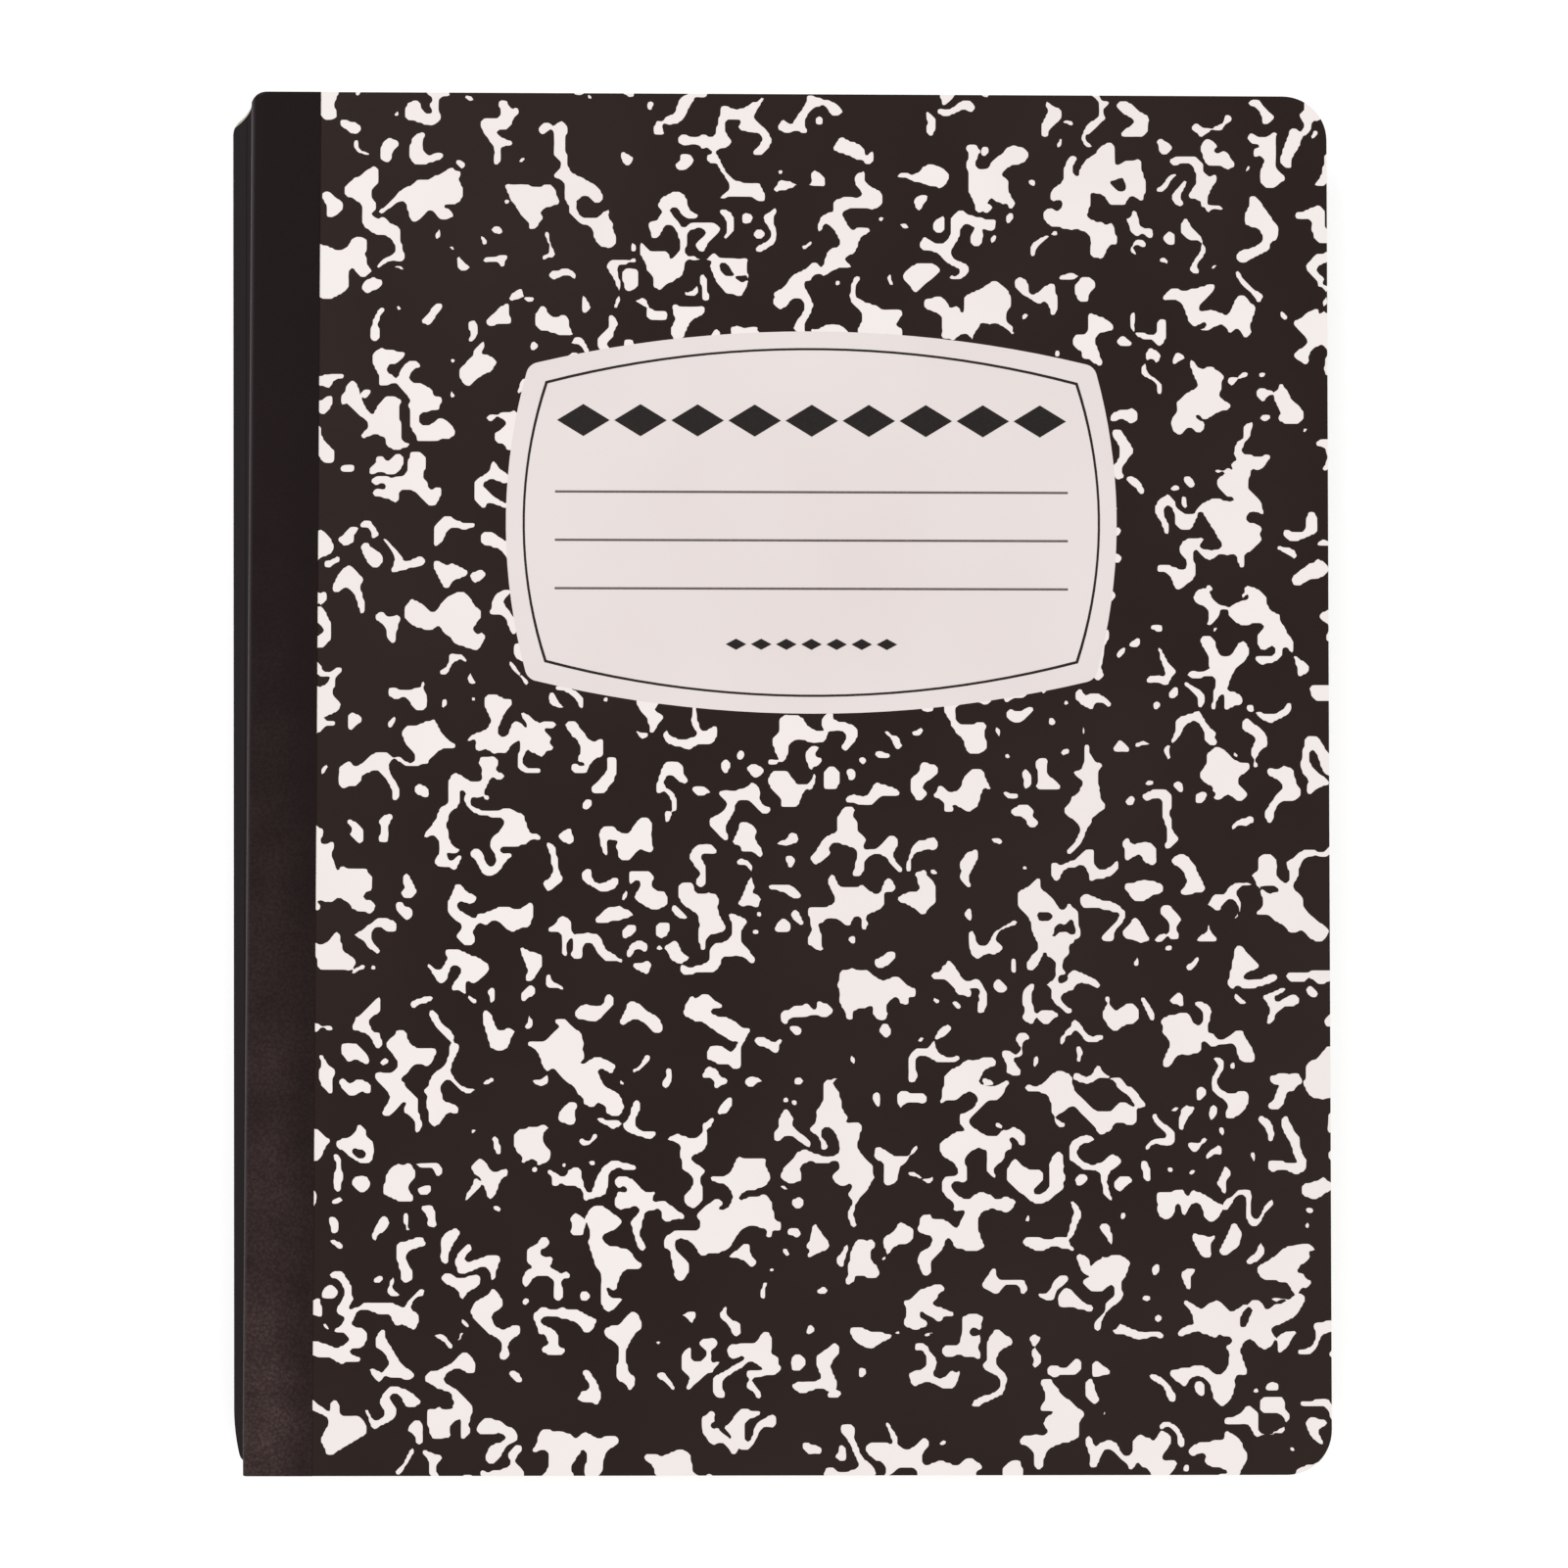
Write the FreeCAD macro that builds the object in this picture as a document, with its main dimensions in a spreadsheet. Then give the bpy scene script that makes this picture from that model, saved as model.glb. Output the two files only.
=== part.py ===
import FreeCAD, Part

import math
import os
import random
import re

import Sketcher

# A composition notebook lying on its back cover. The spine is towards -X, the fore-edge towards +X
# and the head of the pages towards +Y. The whole book is slightly cocked: from the front cover down
# to the back cover every leaf has slid a little further towards the spine, and more so at the head
# than at the tail. The origin is on the surface it rests on, under the middle of its outline.
# Everything that belongs to a cover or a page is drawn about the middle of that cover or page.

# Driving dimensions, in millimetres
SIZES = {
    "cover_width": 194.2,
    "cover_height": 247.65,
    "board_thickness": 1.0,
    "block_thickness": 8.6,
    "page_gap": 0.1,
    "fold_gap": 0.05,
    "fore_corner": 8.0,
    "spine_corner_head": 2.8,
    "spine_corner_tail": 0.6,
    "tape_thickness": 0.25,
    "tape_rebate": 0.15,
    "tape_clearance": 0.02,
    "ridge_relief": 0.3,
    "flap_width": 12.6,
    "slide_at_head": 6.6,
    "slide_at_tail": 4.6,
    "fold_clearance": 0.1,
    "fold_corner": 1.0,
    "fold_groups": 5,
    "leaf_slit": 0.1,
    "leaf_slit_depth": 0.4,
    "fold_run": 1.5,
    "eye_width": 1.4,
    "eye_depth": 0.7,
    "stitch_length": 8.0,
    "stitch_margin": 8.0,
    "stitch_room": 0.15,
    "thread_width": 0.4,
    "print_thickness": 0.05,
    "label_x": 4.0,
    "label_drop": 77.5,
    "label_half_width": 50.9,
    "label_half_height": 28.3,
    "label_side_bow": 4.0,
    "label_top_bow": 6.15,
    "label_corner": 2.5,
    "line_inset": 3.0,
    "line_width": 0.4,
    "line_thickness": 0.03,
    "rule_half_length": 46.1,
    "rule_width": 0.4,
    "rule_first": -12.0,
    "rule_pitch": 8.7,
    "rule_count": 3,
    "title_y": 18.3,
    "title_half_length": 46.2,
    "title_half_height": 2.9,
    "title_count": 9,
    "note_y": -22.0,
    "note_half_length": 15.8,
    "note_half_height": 1.0,
    "note_count": 7,
    "fleck_pitch_front": 20.0,
    "fleck_pitch_back": 29.0,
    "fleck_reach_most": 16.0,
    "fleck_reach_least": 7.0,
    "fleck_arm_most": 7.0,
    "fleck_arm_least": 3.6,
    "fleck_area_least": 4.0,
    "fleck_clearance": 0.4,
    "page_rule_pitch": 7.14,
    "page_rule_width": 0.3,
    "page_rule_thickness": 0.03,
    "page_header": 31.0,
    "page_footer": 16.0,
    "page_border": 1.0,
    "margin_offset": 31.75,
}

# What follows from them
DERIVED = {
    "tape_proud": "=tape_thickness - tape_rebate",
    "cover_stack": "=board_thickness + tape_proud",
    "block_bottom": "=cover_stack + page_gap",
    "block_top": "=block_bottom + block_thickness",
    "front_board_bottom": "=block_top + page_gap",
    "book_top": "=front_board_bottom + cover_stack",
    "lean_height": "=book_top - cover_stack",
    "slide_at_middle": "=(slide_at_head + slide_at_tail) / 2",
    "slide_per_length": "=(slide_at_head - slide_at_tail) / cover_height",
    "back_turn": "=atan(slide_per_length)",
    "head_reach_x": "=cover_width / 2 - spine_corner_head",
    "head_reach_y": "=cover_height / 2 - spine_corner_head",
    "back_left": "=head_reach_x * cos(back_turn) + head_reach_y * sin(back_turn) + spine_corner_head",
    "front_x": "=(slide_at_middle + back_left - cover_width / 2) / 2",
    "back_x": "=front_x - slide_at_middle",
    "ridge_x": "=front_x - cover_width / 2",
    "fore_reach_x": "=cover_width / 2 - fore_corner",
    "fore_reach_y": "=cover_height / 2 - fore_corner",
    "tail_reach_x": "=cover_width / 2 - spine_corner_tail",
    "tail_reach_y": "=cover_height / 2 - spine_corner_tail",
    "back_head": "=fore_reach_x * sin(back_turn) + fore_reach_y * cos(back_turn) + fore_corner",
    "back_tail": "=tail_reach_x * sin(back_turn) + tail_reach_y * cos(back_turn) + spine_corner_tail",
    "middle_y": "=(back_tail - back_head) / 2",
    "label_y": "=cover_height / 2 - label_drop",
    "title_pitch": "=2 * title_half_length / title_count",
    "note_pitch": "=2 * note_half_length / note_count",
    "first_page_share": "=(book_top - block_top) / lean_height",
    "last_page_share": "=(book_top - block_bottom) / lean_height",
    "first_page_x": "=front_x - slide_at_middle * first_page_share",
    "last_page_x": "=front_x - slide_at_middle * last_page_share",
    "first_page_turn": "=back_turn * first_page_share",
    "last_page_turn": "=back_turn * last_page_share",
    "page_rule_count": "=floor((cover_height - page_header - page_footer) / page_rule_pitch) + 1",
    "page_inner": "=-cover_width / 2 + tape_thickness + board_thickness + fold_clearance + 2 * fold_corner",
}

DOC = FreeCAD.newDocument("composition_notebook")
SHEET = DOC.addObject("Spreadsheet::Sheet", "Sizes")
for row, (alias, content) in enumerate({**SIZES, **DERIVED}.items(), start=1):
    SHEET.set(f"A{row}", alias)
    SHEET.set(f"B{row}", str(content))
    SHEET.setAlias(f"B{row}", alias)
DOC.recompute()

UP = FreeCAD.Vector(0, 0, 1)
FLAT = FreeCAD.Rotation()
ON_EDGE = FreeCAD.Rotation(FreeCAD.Vector(1, 0, 0), 90)
SPARE = 5.0  # how far a cutting shape runs past what it cuts


def size(name):
    """Return a named size from the sheet as a plain number."""
    value = getattr(SHEET, name)
    return float(getattr(value, "Value", value))


def tied(formula):
    """Return a formula in the sheet's names as an expression that any object can hold."""
    return re.sub(r"\b[a-z]+(_[a-z]+)+\b", r"Sizes.\g<0>", formula)


def worth(formula):
    """Return what a formula in the sheet's names is worth now."""
    value = SHEET.evalExpression(tied(formula))
    return float(getattr(value, "Value", value))


# Sketches


def body_sketch(body, name, height="0"):
    """Start a sketch on the body's own XY plane, lifted to a height."""
    sketch = body.newObject("Sketcher::SketchObject", name)
    plane = next(item for item in body.Origin.OriginFeatures if item.Role == "XY_Plane")
    sketch.AttachmentSupport = (plane, "")
    sketch.MapMode = "FlatFace"
    sketch.setExpression("AttachmentOffset.Base.z", tied(height))
    return sketch


def free_sketch(name, rotation, **place):
    """Start a sketch that stands by itself, with the formulas for its place."""
    sketch = DOC.addObject("Sketcher::SketchObject", name)
    sketch.Placement = FreeCAD.Placement(FreeCAD.Vector(), rotation)
    for axis, formula in place.items():
        sketch.setExpression(f"Placement.Base.{axis}", tied(formula))
    return sketch


def hold(sketch, kind, where, formula):
    """Add one dimension to a sketch and tie it to the sheet."""
    index = sketch.addConstraint(Sketcher.Constraint(kind, *where, worth(formula)))
    sketch.setExpression(f"Constraints[{index}]", tied(formula))


def hold_point(sketch, geometry, vertex, corner):
    """Hold one vertex at a pair of formulas measured from the sketch's origin."""
    hold(sketch, "DistanceX", (-1, 1, geometry, vertex), corner[0])
    hold(sketch, "DistanceY", (-1, 1, geometry, vertex), corner[1])


def polygon(sketch, corners):
    """Draw a closed outline with straight sides through pairs of formulas."""
    spots = [FreeCAD.Vector(worth(x), worth(y), 0) for x, y in corners]
    first = sketch.GeometryCount
    for start, end in zip(spots, spots[1:] + spots[:1]):
        sketch.addGeometry(Part.LineSegment(start, end), False)
    for side, corner in enumerate(corners):
        following = first + (side + 1) % len(corners)
        sketch.addConstraint(Sketcher.Constraint("Coincident", first + side, 2, following, 1))
        hold_point(sketch, first + side, 1, corner)


def rectangle(sketch, left, right, low, high):
    """Draw a rectangle between four formulas."""
    polygon(sketch, [(left, low), (right, low), (right, high), (left, high)])


def rounded_outline(sketch, left, right, low, high, tail, fore, head):
    """Draw a trimmed outline: round corners at the spine's tail and head and, if given, at the fore-edge."""
    corners = [(left, low, tail), (right, low, fore), (right, high, fore), (left, high, head)]
    ends = []
    for quarter, (x, y, radius) in enumerate(corners):
        if radius is None:
            ends.append(None)
            continue
        inward_x = "+" if x == left else "-"
        inward_y = "+" if y == low else "-"
        centre = (f"{x} {inward_x} {radius}", f"{y} {inward_y} {radius}")
        middle = FreeCAD.Vector(worth(centre[0]), worth(centre[1]), 0)
        start = math.radians(180 + 90 * quarter)
        arc = Part.ArcOfCircle(Part.Circle(middle, UP, worth(radius)), start, start + math.pi / 2)
        index = sketch.addGeometry(arc, False)
        hold_point(sketch, index, 3, centre)
        hold(sketch, "Radius", (index,), radius)
        ends.append((index, arc))
    sides = []
    for quarter, (x, y, radius) in enumerate(corners):
        after = (quarter + 1) % len(corners)
        square = FreeCAD.Vector(worth(x), worth(y), 0)
        square_after = FreeCAD.Vector(worth(corners[after][0]), worth(corners[after][1]), 0)
        start = ends[quarter][1].EndPoint if ends[quarter] else square
        end = ends[after][1].StartPoint if ends[after] else square_after
        sides.append(sketch.addGeometry(Part.LineSegment(start, end), False))
    for quarter, side in enumerate(sides):
        after = (quarter + 1) % len(corners)
        if ends[quarter]:
            sketch.addConstraint(Sketcher.Constraint("Tangent", ends[quarter][0], 2, side, 1))
        if ends[after]:
            sketch.addConstraint(Sketcher.Constraint("Tangent", side, 2, ends[after][0], 1))
        else:
            sketch.addConstraint(Sketcher.Constraint("Coincident", side, 2, sides[after], 1))
            hold_point(sketch, sides[after], 1, corners[after][:2])


def bowed_outline(sketch, inset):
    """Draw the label's outline, four sides that bow outwards, moved in by an inset."""
    half_width = f"(label_half_width - {inset})"
    half_height = f"(label_half_height - {inset})"
    bows = ["label_top_bow", "label_side_bow"]
    halves = [half_width, half_height]
    signs = [(-1, -1), (1, -1), (1, 1), (-1, 1)]
    corners = [(f"{x} * {half_width}", f"{y} * {half_height}") for x, y in signs]
    first = sketch.GeometryCount
    for side in range(4):
        start = FreeCAD.Vector(worth(corners[side][0]), worth(corners[side][1]), 0)
        following = corners[(side + 1) % 4]
        end = FreeCAD.Vector(worth(following[0]), worth(following[1]), 0)
        outward = (end - start).cross(UP).normalize()
        crown = (start + end) * 0.5 + outward * worth(bows[side % 2])
        sketch.addGeometry(Part.Arc(start, crown, end), False)
    for side in range(4):
        following = first + (side + 1) % 4
        sketch.addConstraint(Sketcher.Constraint("Coincident", first + side, 2, following, 1))
        hold_point(sketch, first + side, 1, corners[side])
        half, bow = halves[side % 2], bows[side % 2]
        hold(sketch, "Radius", (first + side,), f"({half} * {half} + {bow} * {bow}) / (2 * {bow})")


# Solid features


def new_body(label, **place):
    """Start a body with its own label and the formulas for its place."""
    body = DOC.addObject("PartDesign::Body", label)
    body.Label = label
    move(body, **place)
    return body


def move(piece, turn=None, **place):
    """Tie a piece's place, and its turn about the vertical, to the sheet."""
    for axis, formula in place.items():
        piece.setExpression(f"Placement.Base.{axis}", tied(formula))
    if turn:
        piece.setExpression("Placement.Rotation.Angle", tied(turn))


def pad(body, sketch, name, length):
    """Raise a sketch into a solid."""
    feature = body.newObject("PartDesign::Pad", name)
    feature.Profile = sketch
    feature.setExpression("Length", tied(length))
    DOC.recompute()
    return feature


def pocket(body, sketch, name, depth, upwards=False):
    """Cut a sketch into the body, downwards unless told otherwise, and make sure that it cut."""
    before = body.Shape.Volume
    feature = body.newObject("PartDesign::Pocket", name)
    feature.Profile = sketch
    feature.Reversed = upwards
    feature.setExpression("Length", tied(depth))
    DOC.recompute()
    if body.Shape.Volume > before - 1e-6:
        raise ValueError(f"{name} cuts nothing")
    return feature


def repeat(body, feature, name, axis, length, count):
    """Repeat a feature along one of the body's axes over a length."""
    pattern = body.newObject("PartDesign::LinearPattern", name)
    pattern.Originals = [feature]
    pattern.Direction = (next(item for item in body.Origin.OriginFeatures if item.Role == axis), [""])
    pattern.setExpression("Length", tied(length))
    pattern.setExpression("Occurrences", tied(count))
    body.Tip = pattern
    DOC.recompute()
    return pattern


def built(label, shape, **place):
    """Hold a shape that is worked out below as a piece with its own label and place."""
    piece = DOC.addObject("Part::Feature", label)
    piece.Label = label
    piece.Shape = shape
    move(piece, **place)
    DOC.recompute()
    return piece


def common(name, first, second):
    """Keep what two solids share."""
    piece = DOC.addObject("Part::Common", name)
    piece.Base = first
    piece.Tool = second
    DOC.recompute()
    return piece


FRONT = {"x": "front_x", "y": "middle_y"}
BACK = {"x": "back_x", "y": "middle_y", "turn": "back_turn"}
OUTLINE = ("-cover_width / 2", "cover_width / 2", "-cover_height / 2", "cover_height / 2")
CORNERS = ("spine_corner_tail", "fore_corner", "spine_corner_head")


# Covers and tape flaps


def make_front_cover():
    """Front board, with a rebate along the spine that the tape's flap lies in."""
    body = new_body("front_cover", z="front_board_bottom", **FRONT)
    outline = body_sketch(body, "front_board_outline")
    rounded_outline(outline, *OUTLINE, *CORNERS)
    pad(body, outline, "front_board", "board_thickness")
    rebate = body_sketch(body, "front_rebate_outline", "board_thickness")
    rectangle(
        rebate,
        f"-cover_width / 2 - {SPARE}",
        "-cover_width / 2 + flap_width",
        f"-cover_height / 2 - {SPARE}",
        f"cover_height / 2 + {SPARE}",
    )
    pocket(body, rebate, "front_rebate", "tape_rebate")
    return body


def make_front_flap():
    """Tape on the front board, trimmed with it at the head and tail."""
    body = new_body("front_tape_flap", z="book_top - tape_thickness", **FRONT)
    outline = body_sketch(body, "front_flap_outline")
    left, right, low, high = OUTLINE
    tail, fore, head = CORNERS
    rounded_outline(outline, left, "-cover_width / 2 + flap_width", low, high, tail, None, head)
    pad(body, outline, "front_flap", "tape_thickness")
    return body


def make_back_board():
    """Back board: its rebate is underneath, and the tape also covers its spine edge."""
    body = new_body("back_board", z="tape_proud", **BACK)
    outline = body_sketch(body, "back_board_outline")
    rounded_outline(outline, *OUTLINE, *CORNERS)
    pad(body, outline, "back_board_pad", "board_thickness")
    low, high = f"-cover_height / 2 - {SPARE}", f"cover_height / 2 + {SPARE}"
    rebate = body_sketch(body, "back_rebate_outline")
    rectangle(rebate, f"-cover_width / 2 - {SPARE}", "-cover_width / 2 + flap_width", low, high)
    pocket(body, rebate, "back_rebate", "tape_rebate", upwards=True)
    edge = body_sketch(body, "back_edge_outline", "board_thickness")
    rectangle(edge, f"-cover_width / 2 - {SPARE}", "-cover_width / 2 + tape_thickness", low, high)
    pocket(body, edge, "back_edge", f"board_thickness + {SPARE}")
    return body


def make_back_flap():
    """Tape under the back board and up its spine edge."""
    body = new_body("back_tape_flap", z="0", **BACK)
    left, right, low, high = OUTLINE
    tail, fore, head = CORNERS
    outline = body_sketch(body, "back_flap_outline")
    rounded_outline(outline, left, "-cover_width / 2 + flap_width", low, high, tail, None, head)
    pad(body, outline, "back_flap", "cover_stack")
    seat = body_sketch(body, "back_flap_seat_outline", "cover_stack")
    rectangle(
        seat,
        "-cover_width / 2 + tape_thickness",
        f"-cover_width / 2 + flap_width + {SPARE}",
        f"-cover_height / 2 - {SPARE}",
        f"cover_height / 2 + {SPARE}",
    )
    pocket(body, seat, "back_flap_seat", "cover_stack - tape_thickness")
    return body


# The trimmed shape of the whole book between the covers, and what it trims


def make_trimmed_book():
    """Everything between the back hinge and the front ridge, cut to one outline and then cocked."""
    low = free_sketch("trim_at_back", FLAT, x="back_x", y="middle_y", z="cover_stack")
    low.setExpression("Placement.Rotation.Angle", tied("back_turn"))
    high = free_sketch("trim_at_front", FLAT, x="front_x", y="middle_y", z="book_top")
    for sketch in (low, high):
        rounded_outline(sketch, *OUTLINE, *CORNERS)
    DOC.recompute()
    return loft("trimmed_book", low, high)


def loft(name, first, second):
    """Join two like outlines with straight lines."""
    solid = DOC.addObject("Part::Loft", name)
    solid.Sections = [first, second]
    solid.Solid = True
    solid.Ruled = True
    DOC.recompute()
    return solid


class End:
    """The section square to the spine at one end of the book, with X measured from the front ridge."""

    def __init__(self, y):
        self.y = y
        self.slide = f"(slide_at_middle + {y} * slide_per_length)"
        self.stretch = f"sqrt(1 + {self.slide} * {self.slide} / (lean_height * lean_height))"

    def lean(self, z):
        """Return how far the leaning spine has gone from the front ridge at a height."""
        return f"-{self.slide} * (book_top - {z}) / lean_height"

    def inside(self, depth, z):
        """Return the place at a height that lies so deep behind the spine's outer face."""
        return f"{self.lean(z)} + {depth} * {self.stretch}"

    def sketch(self, name, corners):
        """Draw a section through the spine at this end."""
        section = free_sketch(name, ON_EDGE, x="ridge_x", y=f"middle_y + {self.y}")
        polygon(section, corners)
        return section


ENDS = {
    "head": End(f"(cover_height / 2 + {SPARE})"),
    "tail": End(f"(-cover_height / 2 - {SPARE})"),
}
SPINE_DEPTH = "(tape_thickness + board_thickness)"
FOLD_DEPTH = "(tape_thickness + board_thickness + fold_clearance)"
UNDER_TAPE = "(tape_thickness + tape_clearance)"
FOOT = "(cover_stack + fold_gap)"
UNDER_FRONT = "(front_board_bottom - fold_gap)"


def between_ends(name, corners_of):
    """Loft a section of the spine from the tail to the head."""
    sections = [end.sketch(f"{name}_{where}", corners_of(end)) for where, end in ENDS.items()]
    DOC.recompute()
    return loft(name, *sections)


def tape_section(end):
    """Tape over the spine: outside it is trimmed with the book, and it ends at the front ridge."""
    return [
        (f"-{SPARE} * slide_at_head", FOOT),
        (end.inside("tape_thickness", FOOT), FOOT),
        (end.inside("tape_thickness", "front_board_bottom"), "front_board_bottom"),
        ("-fold_gap", "front_board_bottom"),
        ("-fold_gap", "(book_top - ridge_relief)"),
        (f"-{SPARE} * slide_at_head", "(book_top - ridge_relief)"),
    ]


def spine_section(end):
    """Folded board inside the tape, from the back board's inner face to the front board's."""
    return [
        (end.inside(UNDER_TAPE, FOOT), FOOT),
        (end.inside(SPINE_DEPTH, FOOT), FOOT),
        (end.inside(SPINE_DEPTH, UNDER_FRONT), UNDER_FRONT),
        (end.inside(UNDER_TAPE, UNDER_FRONT), UNDER_FRONT),
    ]


def block_section(end):
    """Leaves: flat above and below, folded round against the spine and endless at the fore-edge."""
    far = f"cover_width + {SPARE}"
    low, high = "block_bottom", "block_top"
    low_turn, high_turn = "(block_bottom + fold_corner)", "(block_top - fold_corner)"
    return [
        (far, low),
        (f"{end.inside(FOLD_DEPTH, low)} + fold_corner", low),
        (end.inside(FOLD_DEPTH, low_turn), low_turn),
        (end.inside(FOLD_DEPTH, high_turn), high_turn),
        (f"{end.inside(FOLD_DEPTH, high)} + fold_corner", high),
        (far, high),
    ]


# Folded leaves: slits between groups of leaves run round the head, the fore-edge and the tail,
# and at the head and tail each one turns at the spine and comes back at the mirrored height


def slide_share(height):
    """Return how much of the whole slide there is at a height, from none at the ridge to all at the hinge."""
    return (size("book_top") - height) / size("lean_height")


def placed_at(shape, height):
    """Put a shape drawn about the middle of a leaf where that leaf lies."""
    share = slide_share(height)
    shape.rotate(FreeCAD.Vector(), UP, size("back_turn") * share)
    shape.translate(FreeCAD.Vector(size("front_x") - size("slide_at_middle") * share, size("middle_y"), height))
    return shape


def leaf_slit(height, depth_in_block):
    """Cut the slit at one height, open at the spine where its fold begins."""
    slit, inset = size("leaf_slit"), size("leaf_slit_depth")
    half_width = size("cover_width") / 2
    half_height = size("cover_height") / 2
    corner = FreeCAD.Vector(-half_width - SPARE, -half_height + inset, -slit / 2)
    core = Part.makeBox(2 * half_width + SPARE - inset, 2 * (half_height - inset), slit, corner)
    fore = [edge for edge in core.Edges if abs(edge.tangentAt(edge.FirstParameter).z) > 0.9
            and edge.Vertexes[0].X > 0]
    core = core.makeFillet(size("fore_corner") - inset, fore)
    start = size("tape_thickness") + size("board_thickness") + size("fold_clearance")
    start += depth_in_block + size("fold_run")
    whole = Part.makeBox(
        2 * half_width + SPARE - start,
        2 * (half_height + SPARE),
        slit,
        FreeCAD.Vector(-half_width + start, -half_height - SPARE, -slit / 2),
    )
    return placed_at(whole.cut(core), height)


def spine_place(height, end_y, depth):
    """Return how far along X a place so deep in the spine is, and how the lean stretches depths there."""
    slide = size("slide_at_middle") + end_y * size("slide_per_length")
    stretch = math.hypot(1, slide / size("lean_height"))
    return size("ridge_x") - slide * slide_share(height) + depth * stretch, stretch


def fold_slit(depth_in_block, end_sign):
    """Cut the fold that joins the two slits of one group of leaves, at the head or at the tail."""
    half = size("leaf_slit") / 2
    depth = worth(FOLD_DEPTH) + depth_in_block
    end_y = end_sign * size("cover_height") / 2
    run = size("fold_run") + size("leaf_slit")
    low, high = size("block_bottom") + depth_in_block, size("block_top") - depth_in_block

    def corner(height, side, along=0.0):
        x, stretch = spine_place(height, end_y, depth)
        tilt = size("middle_y") + end_y - end_sign * size("leaf_slit_depth")
        tilt += (size("cover_width") / 2) * math.radians(size("back_turn")) * -slide_share(height)
        return FreeCAD.Vector(x + side * half * stretch + along, tilt, height)

    outline = [
        corner(high + half, 0, run),
        corner(high + half, -1),
        corner(low - half, -1),
        corner(low - half, 0, run),
        corner(low + half, 0, run),
        corner(low + half, 1),
        corner(high - half, 1),
        corner(high - half, 0, run),
    ]
    face = Part.Face(Part.makePolygon(outline + outline[:1]))
    return face.extrude(FreeCAD.Vector(0, end_sign * SPARE, 0))


def along_fold(from_depth, to_depth, height):
    """Run a straight channel from tail to head through the fold, at mid-thickness."""
    wires = []
    for end_sign in (-1, 1):
        y = end_sign * (size("cover_height") / 2 + SPARE)
        outer, inner = stitch_line(from_depth, y), stitch_line(to_depth, y)
        half = UP * height / 2
        spots = [outer - half, inner - half, inner + half, outer + half]
        wires.append(Part.makePolygon(spots + spots[:1]))
    return Part.makeLoft(wires, True, True)


# Running stitch through the middle of the folds: outside runs lie in a shallow channel,
# inside runs lie in the eye of the innermost fold


def stitch_places():
    """Return where along the spine the thread goes through the leaves, tail first."""
    room = size("cover_height") - 2 * size("stitch_margin")
    count = int(room / size("stitch_length"))
    first = -count * size("stitch_length") / 2
    return [first + number * size("stitch_length") for number in range(count + 1)]


def stitch_line(depth, end_y):
    """Return a point of the thread's path, so deep in the spine and so far along it."""
    middle = (size("block_bottom") + size("block_top")) / 2
    return FreeCAD.Vector(spine_place(middle, end_y, depth)[0], size("middle_y") + end_y, middle)


def thread_depths():
    """Return the depth of the outside and the inside runs' middles."""
    channel = worth(FOLD_DEPTH)
    outside = channel + size("stitch_room") + size("thread_width") / 2
    inside = channel + size("block_thickness") / 2 + size("eye_width") / 2
    return outside, inside


def make_thread():
    """One thread that goes in and out through the folds, a meander of one width and thickness."""
    half = size("thread_width") / 2
    outside, inside = thread_depths()
    lower, upper = [], []
    for number, place in enumerate(stitch_places()):
        going_in = number % 2 == 0
        from_depth, to_depth = (outside, inside) if going_in else (inside, outside)
        shift = half if going_in else -half
        lower.append(stitch_line(from_depth - half, place + shift))
        lower.append(stitch_line(to_depth - half, place + shift))
        upper.append(stitch_line(from_depth + half, place - shift))
        upper.append(stitch_line(to_depth + half, place - shift))
    outline = lower + upper[::-1]
    face = Part.Face(Part.makePolygon(outline + outline[:1]))
    face.translate(UP * -half)
    return built("sewing_thread", face.extrude(UP * 2 * half))


def stitch_hole(place):
    """Cut one hole through the folded leaves, from the channel to the eye."""
    room = size("thread_width") + 2 * size("stitch_room")
    outside, inside = (stitch_line(depth, place) for depth in thread_depths())
    corner = outside - FreeCAD.Vector(0, room / 2, room / 2)
    return Part.makeBox(inside.x - outside.x, room, room, corner)


def make_text_block(trimmed):
    """One sewn section of folded leaves, with the slits, folds, eye and holes that show it."""
    plain = common("plain_block", trimmed, between_ends("block_run", block_section))
    groups = int(size("fold_groups"))
    group_thickness = size("block_thickness") / (2 * groups)
    tools = []
    for number in range(1, groups + 1):
        depth = number * group_thickness
        tools.append(leaf_slit(size("block_top") - depth, depth))
        if number < groups:
            tools.append(leaf_slit(size("block_bottom") + depth, depth))
            tools.extend(fold_slit(depth, end_sign) for end_sign in (-1, 1))
    room = size("thread_width") + 2 * size("stitch_room")
    fold_face = worth(FOLD_DEPTH)
    eye = fold_face + size("block_thickness") / 2
    tools.append(along_fold(fold_face - SPARE, fold_face + room, room))
    tools.append(along_fold(eye, eye + size("eye_width"), size("eye_depth")))
    tools.extend(stitch_hole(place) for place in stitch_places())
    return built("text_block", plain.Shape.cut(tools))


# Label on the front cover


def label_body(label, name, height):
    """Start a piece of the label and its sketch at a height over the front board's bottom."""
    body = new_body(label, x="front_x + label_x", y="middle_y + label_y", z="front_board_bottom")
    return body, body_sketch(body, name, height)


PRINTED = "board_thickness + print_thickness"


def make_label_panel():
    """White field with bowed sides."""
    body, outline = label_body("label_panel", "label_outline", "board_thickness")
    bowed_outline(outline, "0")
    field = pad(body, outline, "label_field", "print_thickness")
    round_uprights(body, field, "label_rounding", "label_corner")
    return body


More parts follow.
